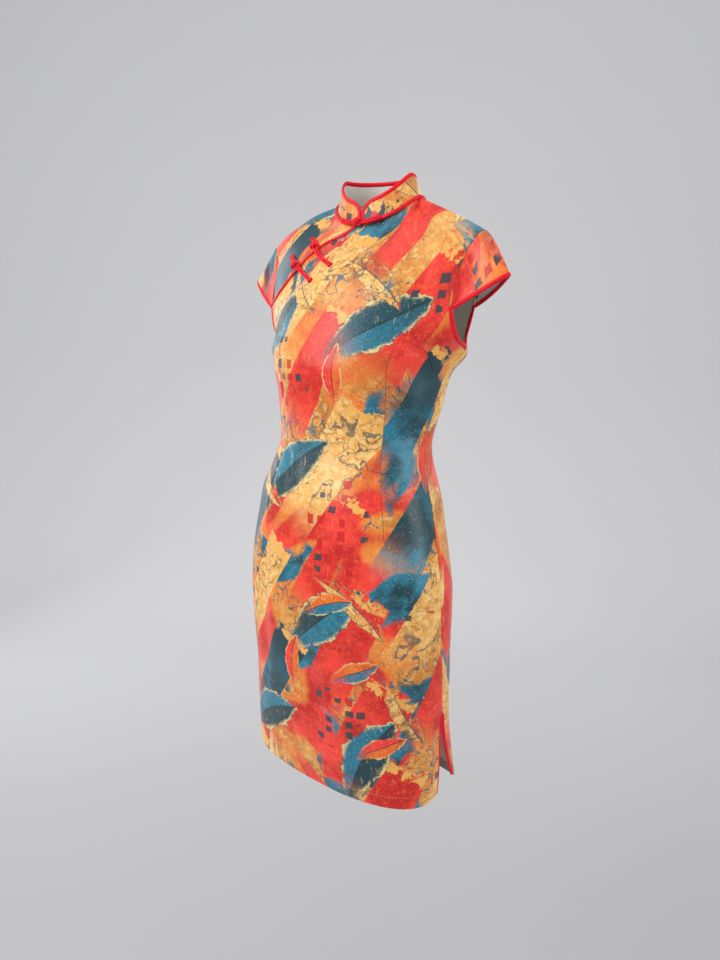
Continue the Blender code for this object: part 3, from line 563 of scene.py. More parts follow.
def flat_pattern(points, heights, panel_number):
    """Place of each grid point on the flat pattern: distance from the centre line, height and panel."""
    far = travelled(points.swapaxes(0, 1)).T
    return np.stack([far - far[:, [far.shape[1] // 2]], heights, np.full_like(heights, panel_number)], -1)


# %% [markdown]
# ### Creases
#
# Worn satin is never as smooth as its solid. A cloth simulation would find folds of its own, but not the ones
# that this dress has, so the main creases are listed one by one: each is a line on the pattern with a width
# and a depth, deeper ones where the body bends at waist and hip. Low swells of a few centimetres go over all.

# %% Creases and swells
SPREAD = 0.235               # metres of cloth from the centre line to the side seam, roughly
CREASE_FADE = 2.6            # more makes a crease reach its full depth nearer its ends
RIDGE = 0.35                 # height of the ridge beside a crease, as a share of its depth
# In millimetres: from x, y to x, y on the pattern, sideways bow, half width, depth inwards.
CREASES = {
    "front": (
        (-110, -205, -205, -262, 6, 7, 1.4),
        (-165, -300, -228, -318, 4, 8, 1.8),
        (-120, -352, -226, -345, 6, 9, 2),
        (-95, -385, -228, -372, -6, 8, 1.6),
        (-140, -430, -226, -398, 4, 8, 1.2),
        (130, -348, 226, -338, -5, 8, 1.8),
        (115, -378, 228, -368, 5, 8, 1.5),
        (150, -416, 228, -392, 4, 7, 1.1),
        (105, -190, 206, -252, -5, 7, 1.2),
        (-12, -320, -20, -560, 6, 12, 1.3),
        (-60, -450, -75, -800, -8, 14, 3.6),
        (-15, -560, 10, -890, 10, 16, 3.4),
        (52, -500, 70, -780, -6, 12, 2.8),
        (95, -640, 75, -905, 6, 13, 3.2),
        (150, -560, 175, -720, 12, 7, 2),
        (165, -540, 205, -650, -8, 6, 1.7),
        (180, -690, 165, -860, 5, 12, 2.4),
        (-130, -540, -150, -780, 6, 12, 2.7),
        (-190, -620, -185, -840, -6, 12, 2.2),
        (30, -30, 110, -110, 10, 10, 1.3),
        (150, -40, 165, -150, -6, 9, 1.3),
        (170, -135, 120, -185, 6, 8, 1),
        (-50, -110, -150, -165, 6, 9, 1),
        (95, -675, 134, -805, 4, 5.5, 1.8),
        (106, -530, 140, -660, -6, 6, 2),
        (160, -600, 170, -725, 4, 5.5, 1.5),
        (-30, -790, -22, -890, 4, 6, 1.4),
        (-62, -200, -86, -340, -4, 6, 1.4),
        (-86, -340, -12, -500, 10, 8, 1.8),
    ),
    "back": (
        (-200, -335, 60, -352, 10, 10, 2.6),
        (-120, -372, 195, -362, -8, 10, 2.4),
        (-180, -402, -20, -392, 6, 9, 1.7),
        (30, -408, 180, -398, -5, 9, 1.5),
        (-120, -180, -200, -290, 10, 9, 1.5),
        (110, -175, 200, -285, -10, 9, 1.5),
        (-70, -540, -85, -860, 8, 16, 3.4),
        (15, -580, 35, -900, -8, 16, 3.1),
        (100, -520, 115, -830, 8, 15, 3.3),
        (-160, -600, -150, -800, 6, 12, 2.3),
        (180, -620, 170, -850, 4, 12, 2.2),
        (-150, -50, -120, -160, 8, 11, 1.3),
        (150, -55, 125, -165, -8, 11, 1.3),
        (-60, -20, 60, -22, -8, 8, 1),
    ),
}


def crease_depth(x, y, creases):
    depth = np.zeros_like(x)
    for from_x, from_y, to_x, to_y, bow, width, most in np.array(creases) / 1000:
        way = np.array([to_x - from_x, to_y - from_y])
        length = np.linalg.norm(way)
        way /= length
        along = ((x - from_x) * way[0] + (y - from_y) * way[1]) / length
        off = (y - from_y) * way[0] - (x - from_x) * way[1] - bow * 4 * along * (1 - along)
        fade = ease(along * CREASE_FADE) * ease((1 - along) * CREASE_FADE)
        trough = np.exp(-(off / width) ** 2)
        ridge = np.exp(-((off - width * 1.9) / (width * 1.1)) ** 2)
        depth += most * fade * (trough - RIDGE * ridge)
    return depth


def swell(x, y, seed, sizes=(0.17, 0.09, 0.045), depths=(1.0, 0.55, 0.22)):
    """Low uneven swells from crossing ripples, about -1 to 1. The seed sets their ways."""
    ways = np.random.default_rng(seed)
    total = np.zeros_like(x)
    for size, depth in zip(sizes, depths):
        for _ in range(3):
            turn, start = ways.uniform(0, math.pi), ways.uniform(0, 2 * math.pi)
            ahead = x * math.cos(turn) + y * math.sin(turn)
            total += depth / 3 * np.sin(ahead * 2 * math.pi / size + start)
    return total


# %% [markdown]
# ### Front, under piece and back
#
# Each panel is cut to the side seams and shaped by darts. The rows of the front stop at the slanting opening
# on the wearer's right, and the under piece carries on beneath it to the shoulder. Next to a seam the cloth
# dips a little, as sewn cloth does. Below the slits the side edges stand back for the piping that binds them.

# %% Rows and columns of the panels
SWELL_DEPTH = 0.0007
SEAM_DIP, SEAM_DIP_WIDTH = 0.0006, 0.0024    # how the cloth dips beside a seam
DART_DIP, DART_DIP_WIDTH, DART_FULL = 0.0008, 0.0035, 0.004   # and at a dart that takes up DART_FULL or more
STILL_EDGE = 0.012           # creases fade out this near to a side seam or to the top
UNDER_STILLNESS = 0.3        # share of the creases that the under piece shows
HEM_DEPTH, HEM_EXTRA, HEM_STEP = 0.020, 0.0009, 0.0003       # height, more thickness, step outside
BOUND_EDGE = 2 * PIPING + 1.5 * SEAM_GAP     # room for the piping that binds a slit
SLIT_START = 0.010           # the slit reaches its full step this far below its top
FACING_RISE = 0.020          # the tan facing inside the skirt ends this far above the slits
ARMHOLE_ALLOWANCE = 0.016    # overlocked edge that shows inside the armhole below the sleeve
PANEL_SHEET = ((-0.28, -0.93), (0.56, 0.93))   # low corner and size of a panel's place on the flat pattern

half_side = np.concatenate([np.linspace(0, 0.984, 74), [0.988, 0.992, 0.995, 0.998, 1.0]])
side_to_side = np.concatenate([-half_side[::-1], half_side[1:]])
body_rows = np.linspace(HEM_HEIGHT, UNDERARM_HEIGHT, 178)
body_rows = np.concatenate([[HEM_HEIGHT, HEM_HEIGHT + 0.001], body_rows[1:]])
upper_share = np.concatenate([np.linspace(0, 0.975, 52)[1:], [0.985, 0.993, 1.0]])

# The long darts run down the panel: heights, distances from the centre line at the wearer's left and right,
# most cloth taken up. The bust darts run from a point out to the side seams: distances and heights.
LONG_DARTS = {
    "front": ((-0.160, -0.200, -0.226, -0.252, -0.292, -0.348, -0.432, -0.500),
              (0.117, 0.1145, 0.112, 0.119, 0.122, 0.129, 0.122, 0.121),
              (0.076, 0.070, 0.064, 0.068, 0.078, 0.088, 0.080, 0.078), 0.011),
    "back": ((-0.200, -0.350, -0.500), (0.105, 0.103, 0.105), (0.105, 0.103, 0.105), 0.012),
}
BUST_DART = ((0.136, 0.147, 0.161, 0.180, 0.202, 0.222, 0.236),
             (-0.180, -0.198, -0.221, -0.234, -0.246, -0.257, -0.268), 0.009)


def dart_fields(panel, x, y):
    """Signed distances to the long and the bust dart, and how much cloth each takes up there."""
    heights, left, right, most = LONG_DARTS[panel]
    left_place, right_place = (np.interp(-y, -np.array(heights), places) for places in (left, right))
    beside_long = np.abs(x) - np.where(x > 0, left_place, right_place)
    share = (y - heights[-1]) / (heights[0] - heights[-1])
    long_taken = most * np.clip(1 - np.abs(share * 2 - 1), 0, 1)
    places, levels, most = BUST_DART
    beside_bust = (y - np.interp(np.abs(x), places, levels)) * 0.75
    bust_taken = most * np.clip((np.abs(x) - places[0]) / (places[-1] - places[0]), 0, 1) * (panel == "front")
    return beside_long, beside_bust, long_taken, bust_taken


def panel_cloth(name, panel, across, heights, panel_number, inset=None):
    """One fine piece of a panel, with its creases, darts, hem and seam edges."""
    below = ease((SLIT_HEIGHT - heights) / SLIT_START)
    across = across * (1 - below * BOUND_EDGE / SPREAD)
    points, out = on_panel(panel, across, heights)
    x, y = across * SPREAD, heights
    depth = crease_depth(x, y, CREASES[panel])
    lift = swell(x, y, 3 if panel == "front" else 8) * SWELL_DEPTH
    beside_long, beside_bust, long_taken, bust_taken = dart_fields(panel, x, y)
    for apart, taken in ((beside_long, long_taken), (beside_bust, bust_taken)):
        depth += DART_DIP * np.exp(-(apart / DART_DIP_WIDTH) ** 2) * np.clip(taken / DART_FULL, 0, 1)
    to_side = (1 - np.abs(across)) * SPREAD
    dip = SEAM_DIP * np.exp(-(to_side / SEAM_DIP_WIDTH) ** 2) * (heights > SLIT_HEIGHT)
    still = ease((TOP - heights) / STILL_EDGE) * ease(to_side / STILL_EDGE)
    if inset is not None:
        depth, lift = depth * UNDER_STILLNESS, lift * UNDER_STILLNESS - inset
    hem = 1 - ease((heights - HEM_HEIGHT - HEM_DEPTH) / 0.002)
    points = points + out * (lift - depth * still - dip + HEM_STEP * hem)[..., None]
    cut = flat_pattern(points, heights, panel_number)
    seams = np.stack([beside_long, beside_bust, heights - HEM_HEIGHT], -1)
    taken = np.stack([long_taken, bust_taken, np.zeros_like(long_taken)], -1)
    thick = LINED + HEM_EXTRA * hem[:, 0]
    by_armhole = (to_side < ARMHOLE_ALLOWANCE) & (heights > UNDERARM_HEIGHT)
    faced = (by_armhole | (heights < SLIT_HEIGHT + FACING_RISE))[:-1, :-1]
    piece = sew(name, points, out, cut, seams, PANEL_SHEET, thick, taken, faced)
    print(name, "area", round(area_of(points), 4), "m2, faces", len(piece.data.polygons))
    return piece


# %% Front
top_edge = np.where(side_to_side < 0, opening_height(np.minimum(side_to_side, 0)), TOP)
body_grid = np.repeat(body_rows[:, None], len(side_to_side), axis=1)
upper_grid = UNDERARM_HEIGHT + (top_edge - UNDERARM_HEIGHT) * upper_share[:, None]
front = panel_cloth("front_panel", "front", side_to_side, np.concatenate([body_grid, upper_grid]), 0.0)
keep(front, "satin", "front")

# %% Under piece
def underlap_inset(across, height):
    past_edge = height - opening_height(across)
    return UNDERLAP_INSET * (1 - ease((past_edge - UNDERLAP_LEVEL_REACH) / UNDERLAP_RISE))


lap_columns = -half_side[::-1]
lap_edge = opening_height(lap_columns)
rows = np.concatenate([lap_edge - UNDERLAP + UNDERLAP * np.linspace(0, 1, 7)[:-1, None],
                       lap_edge + (TOP - lap_edge) * np.linspace(0, 1, 44)[:, None]])
under = panel_cloth("under_piece", "front", lap_columns, rows, 1.0, inset=underlap_inset(lap_columns, rows))
keep(under, "satin", "front_underlap")

# %% Back
rows = np.concatenate([body_rows, UNDERARM_HEIGHT + NECK_LENGTH * upper_share])
rows = np.repeat(rows[:, None], len(side_to_side), axis=1)
back = panel_cloth("back_panel", "back", side_to_side, rows, 2.0)
keep(back, "satin", "back")

# %% [markdown]
# ### Cap sleeves
#
# Each sleeve is cut with a high rounded cap, and its hem runs into the armhole in front and behind, so it
# covers the shoulder and leaves the underarm open. The cap is a little longer than the armhole; that ease is
# what makes the small puckers by the shoulder tip. A Bezier row from seam to hem gives the crown in one line.

# %% Sleeves
def armhole_edge(panel, side, lengths):
    """Points along a panel's armhole edge, at lengths up the panel from the underarm."""
    return on_panel(panel, side, UNDERARM_HEIGHT + np.asarray(lengths))


def grid_normals(points, like):
    """Outward directions of a grid, each on the same side as those of like."""
    sideways = np.gradient(points, axis=1)
    downwards = np.gradient(points, axis=0)
    normal = unit(np.cross(sideways, downwards))
    return normal * np.sign(np.sum(normal * like, -1, keepdims=True))


def meeting(front, back):
    """One line of points and outsides from a front and a back edge that meet at a shoulder seam."""
    (front_edge, front_out), (back_edge, back_out) = front, back
    joint = (front_edge[-1:] + back_edge[:1]) / 2
    return np.concatenate([front_edge[:-1], joint, back_edge[1:]]), np.concatenate([front_out, back_out[1:]])


def sleeve_seam(side, lengths):
    """The seam of a sleeve round the armhole, from the front over the shoulder tip to the back."""
    edge, out = meeting(armhole_edge("front", side, lengths), armhole_edge("back", side, lengths[::-1]))
    out = unit(out)
    past = unit(np.cross(unit(np.gradient(edge, axis=0)), out)) * side
    return edge + past * SEAM_GAP, past, out


SEAM_TAKES = 0.0006          # a seam draws a fine shadow line, as a dart that takes this much cloth does
SMALL_PUCKERS, SMALL_DEPTH, SMALL_REACH = 19, 0.0010, 0.22
# Two soft folds in each sleeve: depth, place from -1 in front to 1 behind, drift on the way down, width, and
# how sharply it ends at the hem.
SLEEVE_FOLDS = ((0.0016, -0.30, 0.25, 0.11, 3), (0.0012, 0.42, -0.15, 0.10, 4))
SLEEVE_LENGTHS = np.linspace(SLEEVE_JOIN, NECK_LENGTH, 37)
SLEEVE_DOWN = np.concatenate([[0, 0.012], np.linspace(0, 1, 27)[1:-1], [0.985, 1.0]])


def sleeve_form(side):
    seam, past, seam_out = sleeve_seam(side, SLEEVE_LENGTHS)
    share = np.linspace(-1, 1, len(seam))
    flip = np.array([side, 1, 1])
    tip = np.array(SLEEVE_TIP) * flip
    far = (np.hypot(share, SLEEVE_NOSE) - SLEEVE_NOSE) / (math.hypot(1, SLEEVE_NOSE) - SLEEVE_NOSE)
    belly = np.array(SLEEVE_BELLY) * flip * (4 * far * (1 - far) * (share > 0))[:, None]
    front_end = seam[0] + past[0] * SLEEVE_END_WIDTH
    back_end = seam[-1] + past[-1] * SLEEVE_END_WIDTH
    middle = (front_end + back_end) / 2
    hem = tip + (middle - tip) * far[:, None] + (back_end - front_end) / 2 * share[:, None] + belly
    drop = np.linalg.norm(hem - seam, axis=-1, keepdims=True)
    crown = seam + past * drop * SLEEVE_CROWN
    down = SLEEVE_DOWN[:, None, None]
    points = (1 - down) ** 2 * seam + 2 * down * (1 - down) * crown + down ** 2 * hem
    out = grid_normals(points, points - np.array([side * 0.10, 0.0, -0.25]))
    long_enough = np.clip(drop / SLEEVE_FULL_LENGTH, 0, 1)
    return points, unit(out * long_enough + seam_out * (1 - long_enough)), share


def make_sleeve(side, name, node, panel_number):
    points, out, share = sleeve_form(side)
    down = SLEEVE_DOWN[:, None]
    near_tip = np.exp(-(share / 0.42) ** 2)
    waves = np.sin(share * math.pi * EASE_PUCKERS) * near_tip * EASE_DEPTH
    fade = ease(down * 6) * (1 - ease(down / EASE_REACH / 2))
    small = np.sin(share * math.pi * SMALL_PUCKERS + side) * SMALL_DEPTH
    small = small * np.exp(-((share - 0.1) / 0.30) ** 2)
    small_fade = ease(down * 12) * (1 - ease(down / SMALL_REACH))
    lift = waves * fade + small * small_fade - SEAM_DIP * np.exp(-(down / 0.05) ** 2)
    for depth, place, drift, width, ending in SLEEVE_FOLDS:
        fold = np.exp(-((share - place - drift * down) / width) ** 2)
        lift -= depth * fold * ease(down * 3) * ease((1 - down) * ending)
    points = points + out * lift[..., None]
    lengths = travelled(points)
    cut = flat_pattern(points, -lengths, panel_number)
    seams, taken = np.ones(cut.shape), np.zeros(cut.shape)
    seams[..., 1] = lengths
    taken[..., 1] = SEAM_TAKES
    piece = sew(name, points, out, cut, seams, ((-0.16, -0.12), (0.32, 0.125)), taken=taken)
    keep(piece, "satin", node)
    print(name, "area", round(area_of(points), 4), "seam", round(travelled(points[0])[-1], 3))
    return points, out


left_sleeve, left_sleeve_out = make_sleeve(1.0, "sleeve_left_cloth", "sleeve_left", 3.0)
right_sleeve, right_sleeve_out = make_sleeve(-1.0, "sleeve_right_cloth", "sleeve_right", 4.0)

# %% [markdown]
# ### Overlocked seam edge
#
# Inside each armhole the raw edges are overlocked together and pressed towards the sleeve. It shows from the
# side, under the sleeve, as a narrow brown band. It is a strip offset from the sleeve's own rows.

# %% Seam edges inside the sleeves
EDGE_START, EDGE_WIDTH, EDGE_THICK, EDGE_FLUTTER = 0.0004, 0.0085, 0.0012, 0.0003


def make_seam_edge(points, out, name):
    columns = np.flatnonzero(np.linalg.norm(points[-1] - points[0], axis=-1) > EDGE_WIDTH * 1.2)
    share = np.linspace(0, 1, 6)
    both = np.concatenate([points, out], axis=-1)
    strip = np.stack([along_line(both[:, column], EDGE_START + share * EDGE_WIDTH) for column in columns], 1)
    under = LINED + EDGE_FLUTTER * (1 + np.outer(share, np.sin(columns * 1.9)))
    strip, strip_out = strip[..., :3] - strip[..., 3:] * under[..., None], unit(strip[..., 3:])
    cut = flat_pattern(strip, np.outer(share * EDGE_WIDTH, np.ones(len(columns))), 5.0)
    sheet_of = ((-0.16, 0.0), (0.32, EDGE_WIDTH))
    keep(sew(name, strip, strip_out, cut, np.zeros_like(cut), sheet_of, EDGE_THICK), "satin")
    print(name, "length", round(travelled(strip[0])[-1], 3))


make_seam_edge(left_sleeve, left_sleeve_out, "seam_edge_left")
make_seam_edge(right_sleeve, right_sleeve_out, "seam_edge_right")

# %% [markdown]
# ### Stand collar
#
# The collar is a stiffened band 29 mm high. It leans in a little, because its top edge is shorter than the
# neckline, and its two front ends are rounded so that they meet in a notch. Its base row is the neckline
# itself, so it can't drift off the panels.

# %% Neckline and collar
NECK_STEPS = 37
COLLAR_THICK, COLLAR_RIPPLE = 0.0015, 0.0003


def neckline():
    """Points all round the neckline, from the centre front by the wearer's left, and their outsides."""
    across = np.linspace(0, NECK_SHARE, NECK_STEPS)
    (left, left_out), (right, right_out) = (
        meeting(on_panel("front", side * across, TOP), on_panel("back", side * across[::-1], TOP))
        for side in (1.0, -1.0))
    return np.concatenate([left, right[-2::-1]]), unit(np.concatenate([left_out, right_out[-2::-1]]))


def collar_form():
    line, _ = neckline()
    length = travelled(line)[-1]
    start = (2 * PIPING + 3 * SEAM_GAP) / COLLAR_TAPER
    tab = start + COLLAR_TAB * (1 - np.cos(np.linspace(0, math.pi / 2, 22)))
    at = np.concatenate([tab, np.linspace(tab[-1], length - tab[-1], 120)[1:-1], length - tab[::-1]])
    base = along_line(line, at)
    centre = np.array([0, COLLAR_CENTRE_Y, 0])
    top_edge = (base - centre) * np.array([COLLAR_TAPER, COLLAR_TAPER, 1]) + centre
    top_edge += np.array([0, COLLAR_LEAN, COLLAR_HEIGHT])
    from_end = np.clip(np.minimum(at - start, length - start - at) / COLLAR_TAB, 0, 1)
    drop = COLLAR_TAB_DROP * (1 - np.sqrt(1 - (1 - from_end) ** 2))
    rise = (COLLAR_HEIGHT - drop) / COLLAR_HEIGHT
    up = np.linspace(0, 1, 15)[:, None, None] * rise[None, :, None]
    points = base + np.array([0, 0, SEAM_GAP]) + (top_edge - base) * up
    out = grid_normals(points, (points - centre) * np.array([1, 1, 0]) + [0, 0, 0.02])
    out[0] = unit(out[0] * np.array([1, 1, 0]))
    return points, out, at - length / 2, up[..., 0]


collar_points, collar_out, collar_x, collar_up = collar_form()
cut = np.stack(np.broadcast_arrays(collar_x, collar_up * COLLAR_HEIGHT, 6.0), -1)
ripple = swell(cut[..., 0], cut[..., 1], 5, (0.06, 0.03), (1.0, 0.4))
collar_points = collar_points + collar_out * (ripple * COLLAR_RIPPLE * ease(collar_up * 4))[..., None]
sheet_of = ((-0.22, 0.0), (0.44, COLLAR_HEIGHT))
seams = np.ones_like(cut) * [1, 0, 1]
collar = sew("collar_band", collar_points, collar_out, cut, seams, sheet_of, COLLAR_THICK)
keep(collar, "satin", "collar")
print("collar area", round(area_of(collar_points), 4), "length", round(float(np.ptp(collar_x)), 3))

# %% [markdown]
# ## Piping
#
# Every edge but the hem is bound with a folded strip of red satin, cut on the bias so that it turns corners.
# From outside it is a flat roll about 6 mm wide with a faint slanting weave. A curve object with a bevel
# would make a tube too, but a mesh of rings also lets the roll swell and pinch a little, as hand-turned
# strips do.

# %% Tubes of rings
def rings_along(name, path, forward, up, width, height, far, turns, closed):
    """A mesh of rings along a path, with the distance along and round it kept for its weave."""
    sideways = unit(np.cross(forward, up))
    up = np.cross(sideways, forward)
    rings = (path[:, None] + sideways[:, None] * np.outer(width, np.cos(turns))[..., None]
             + up[:, None] * np.outer(height, np.sin(turns))[..., None])
    number = np.arange(rings.shape[0] * rings.shape[1]).reshape(rings.shape[:2])
    ends = [] if closed else [number[0][::-1].tolist(), number[-1].tolist()]
    number = np.concatenate([number, number[:1]]) if closed else number
    faces = quads_between(np.concatenate([number, number[:, :1]], axis=1)).tolist()
    piece = new_object(name, rings.reshape(-1, 3), faces + ends)
    weave = np.broadcast_arrays(far[:, None], turns / (2 * math.pi), 0.0)
    keep_vectors(piece.data, "cord", np.stack(weave, -1))
    piece.data.shade_smooth()
    return piece


def tube(name, path, up, width, height, sides=14):
    """A tube with rounded ends."""
    far = travelled(path)
    ends = np.minimum(far, far[-1] - far) / (np.minimum(width, height) * 1.1)
    cap = np.sqrt(np.clip(1 - (1 - np.clip(ends, 0, 1)) ** 2, 0.02, 1))
    turns = (np.arange(sides) + 0.5) * 2 * math.pi / sides
    forward = unit(np.gradient(path, axis=0))
    return rings_along(name, path, forward, up, width * cap, height * cap, far, turns, closed=False)


def spaced(path, up, step=0.0018):
    """A path and its outward directions again, in even steps."""
    far = travelled(path)
    at = np.linspace(0, far[-1], max(int(far[-1] / step), 6) + 1)
    both = along_line(np.concatenate([path, up], axis=-1), at)
    return both[:, :3], unit(both[:, 3:])


def smoothed(path, rounds):
    path = path.copy()
    for _ in range(rounds):
        path[1:-1] = path[1:-1] * 0.5 + (path[:-2] + path[2:]) * 0.25
    return path


# Half widths of the rolls: on most edges, round the neck and along the opening. Then half their thickness.
EDGE_ROLL, NECK_ROLL, OPENING_ROLL, ROLL_DEPTH = 0.0033, 0.0029, 0.0028, 0.0020
PINCH = 0.035                # how much a roll swells and pinches, as a share of its size


def bind(name, node, path, up, seed, half_width=EDGE_ROLL):
    path, up = spaced(path, up)
    far = travelled(path)
    pinch = 1 + PINCH * swell(far, np.zeros_like(far), seed, (0.021, 0.011, 0.006), (0.5, 0.4, 0.3))
    piece = tube(name, path, up, half_width * pinch, ROLL_DEPTH * pinch)
    keep(piece, "piping", node)
    print(name, "length", round(far[-1], 3))
    return path


def nearest(points, others):
    """Each point's distance to the nearest of the others."""
    return np.linalg.norm(points[:, None] - others[None], axis=-1).min(axis=1)


def beside_edge(edge, out, level, side=1.0):
    """The path of a cord just past an edge. It lies on the left of the way along, seen from outside."""
    along = unit(np.gradient(edge, axis=0))
    past = unit(np.cross(out, along)) * side
    return edge + past * (PIPING + SEAM_GAP) + out * level


# %% Piping of the sleeve hems and armholes
def armhole_path(side):
    lengths = np.concatenate([[0.001], np.linspace(0.001, SLEEVE_JOIN, 30)[1:]])
    front_edge, front_out = armhole_edge("front", side, lengths[::-1])
    back_edge, back_out = armhole_edge("back", side, lengths)
    edge = np.concatenate([front_edge, back_edge])
    out = unit(np.concatenate([front_out, back_out]))
    path = beside_edge(edge, out, -WALL / 2, side)
    clear = nearest(path + out * WALL / 2, edge) > (PIPING + SEAM_GAP) * 0.96
    return smoothed(path[clear], 5), out[clear]


red_lines = []
for side, word, points, out in ((1.0, "left", left_sleeve, left_sleeve_out),
                                (-1.0, "right", right_sleeve, right_sleeve_out)):
    hem_line = beside_edge(points[-1], out[-1], -WALL / 2, -side)
    red_lines.append(bind(f"sleeve_roll_{word}", f"sleeve_piping_{word}", hem_line, out[-1], 11))
    arm_line, arm_out = armhole_path(side)
    clear = nearest(arm_line, red_lines[-1]) > PIPING * 0.5
    arm_line, arm_out = arm_line[clear], arm_out[clear]
    red_lines.append(bind(f"armhole_roll_{word}", f"armhole_piping_{word}", arm_line, arm_out, 12))

# %% Piping of the collar, the neckline and the slanting opening
rim = np.concatenate([collar_points[1:-1, 0], collar_points[-1], collar_points[-2:0:-1, -1]])
rim_out = np.concatenate([collar_out[1:-1, 0], collar_out[-1], collar_out[-2:0:-1, -1]])
bind("collar_roll", "collar_piping", smoothed(beside_edge(rim, rim_out, -WALL / 2), 3), rim_out, 13)

neck_line, panel_out = neckline()
collar_way = unit((neck_line - [0, COLLAR_CENTRE_Y, 0]) * np.array([1, 1, 0]) + [0, 0, 0.02])
between = unit(panel_out + collar_way)
reach = (PIPING + SEAM_GAP) / np.sum(between * panel_out, -1, keepdims=True)
neck_cord = np.concatenate([smoothed(neck_line + between * (reach + 2 * SEAM_GAP), 4), between], -1)
length = travelled(neck_cord)[-1]
neck_cord = along_line(neck_cord, np.linspace(SEAM_GAP, length - SEAM_GAP, 240))
neck_roll_line = bind("neck_roll", "neck_piping", neck_cord[:, :3], neck_cord[:, 3:], 14, NECK_ROLL)

slant_across = -np.linspace(0, 1, 160)
slant_edge, slant_out = on_panel("front", slant_across, opening_height(slant_across))
slant = beside_edge(slant_edge, slant_out, PIPING + SEAM_GAP - UNDERLAP_INSET, side=-1.0)
others = np.concatenate([neck_roll_line, *red_lines])
clear = nearest(slant, others) > PIPING * 1.6
slant, slant_out = smoothed(slant[clear], 4), slant_out[clear]
slant_line = bind("opening_roll", "opening_piping", slant, slant_out, 15, OPENING_ROLL)

# %% Piping of the slits
def slit_path(panel, side):
    heights = np.concatenate([np.linspace(SLIT_HEIGHT - 0.0005, SLIT_HEIGHT - SLIT_START, 10)[:-1],
                              np.linspace(SLIT_HEIGHT - SLIT_START, HEM_HEIGHT, 60)])
    below = ease((SLIT_HEIGHT - heights) / SLIT_START)
    across = side * (1 - (below * (BOUND_EDGE - PIPING) * 0.95 + (1 - below) * PIPING * 0.9) / SPREAD)
    line, out = on_panel(panel, across, heights)
    return smoothed(line - out * WALL / 2, 3), out


for side, word in ((1.0, "left"), (-1.0, "right")):
    for panel in ("front", "back"):
        line, out = slit_path(panel, side)
        bind(f"slit_roll_{word}_{panel}", f"slit_piping_{word}_{panel}", line, out, 16)

# %% [markdown]
# ## Frogs
#
# A frog is a knotted button and a loop, both made of one narrow satin cord laid double and sewn down flat.
# The knot is a ball with the cord passing over and under itself. A smooth ball would look like a bead, so the
# cord really follows a knotted curve round a sphere here.

# %% Knot and doubled cord
CORD = 0.0018                # radius of the cord
BALL = 0.0057                # radius of the knot
CORD_SIDES, CORD_STEP = 10, 0.0009
CORD_APART = CORD * 1.02     # from the middle of a doubled cord to each of its cords
KNOT_TURNS, KNOT_LOBES = 3, 4
KNOT_DIP, KNOT_TILT = 0.14, 0.95             # how far its curve dips, as a share, and swings, in radians
LOOP_TURN = math.pi * 0.80   # how far round its knot a loop goes on each side
LOOP_RADIUS, LOOP_LOW = BALL * 0.75 + CORD, BALL * 0.25      # its size there, and how far below the middle
KNOT_OUT, KNOT_ASIDE = 0.0012, 0.0030        # how far a knot hangs out, and aside from its bar
# The roll at the end of a bar: its half length, its bow, how far out it lies and its half width.
END_REACH, END_BOW, END_OUT, END_WIDE = CORD * 2.45, CORD * 0.5, CORD * 0.2, CORD * 1.12


def knot_points(centre, out, forward):
    """A closed curve that winds round a ball, over and under itself."""
    t = np.linspace(0, 2 * math.pi, 220, endpoint=False)
    reach = (BALL - CORD) * (1 - KNOT_DIP + KNOT_DIP * np.cos(KNOT_LOBES * t))
    tilt = KNOT_TILT * np.sin(KNOT_LOBES * t)
    ways = (np.outer(np.cos(KNOT_TURNS * t) * np.cos(tilt), forward)
            + np.outer(np.sin(KNOT_TURNS * t) * np.cos(tilt), np.cross(out, forward))
            + np.outer(np.sin(tilt), out))
    return centre + ways * reach[:, None]


def tie_knot(name, centre, out, forward):
    path = knot_points(centre, out, forward)
    ahead = unit(np.roll(path, -1, axis=0) - np.roll(path, 1, axis=0))
    up = unit(path - path.mean(axis=0))
    radius = np.full(len(path), CORD * 0.98)
    far = np.arange(len(path)) * 0.0006
    turns = np.arange(CORD_SIDES) * 2 * math.pi / CORD_SIDES
    return rings_along(name, path, ahead, up, radius, radius, far, turns, closed=True)


def joined(name, parts):
    """Parts of one frog half as one piece."""
    bpy.ops.object.select_all(action="DESELECT")
    for part in parts:
        part.select_set(True)
    bpy.context.view_layer.objects.active = parts[0]
    bpy.ops.object.join()
    parts[0].name = name
    return parts[0]


def end_roll(name, line, out):
    """The free ends of a doubled cord, turned under, which make a small roll across the end of the bar."""
    forward = unit(line[1] - line[0])
    sideways = unit(np.cross(forward, out[0]))
    across = np.linspace(-1, 1, 9)[:, None]
    path = line[0] + sideways * across * END_REACH - forward * (1 - across ** 2) * END_BOW
    path, up = spaced(path + out[0] * END_OUT, np.repeat(out[:1], 9, axis=0), 0.0006)
    return tube(name, path, up, END_WIDE, CORD * 1.05, CORD_SIDES)


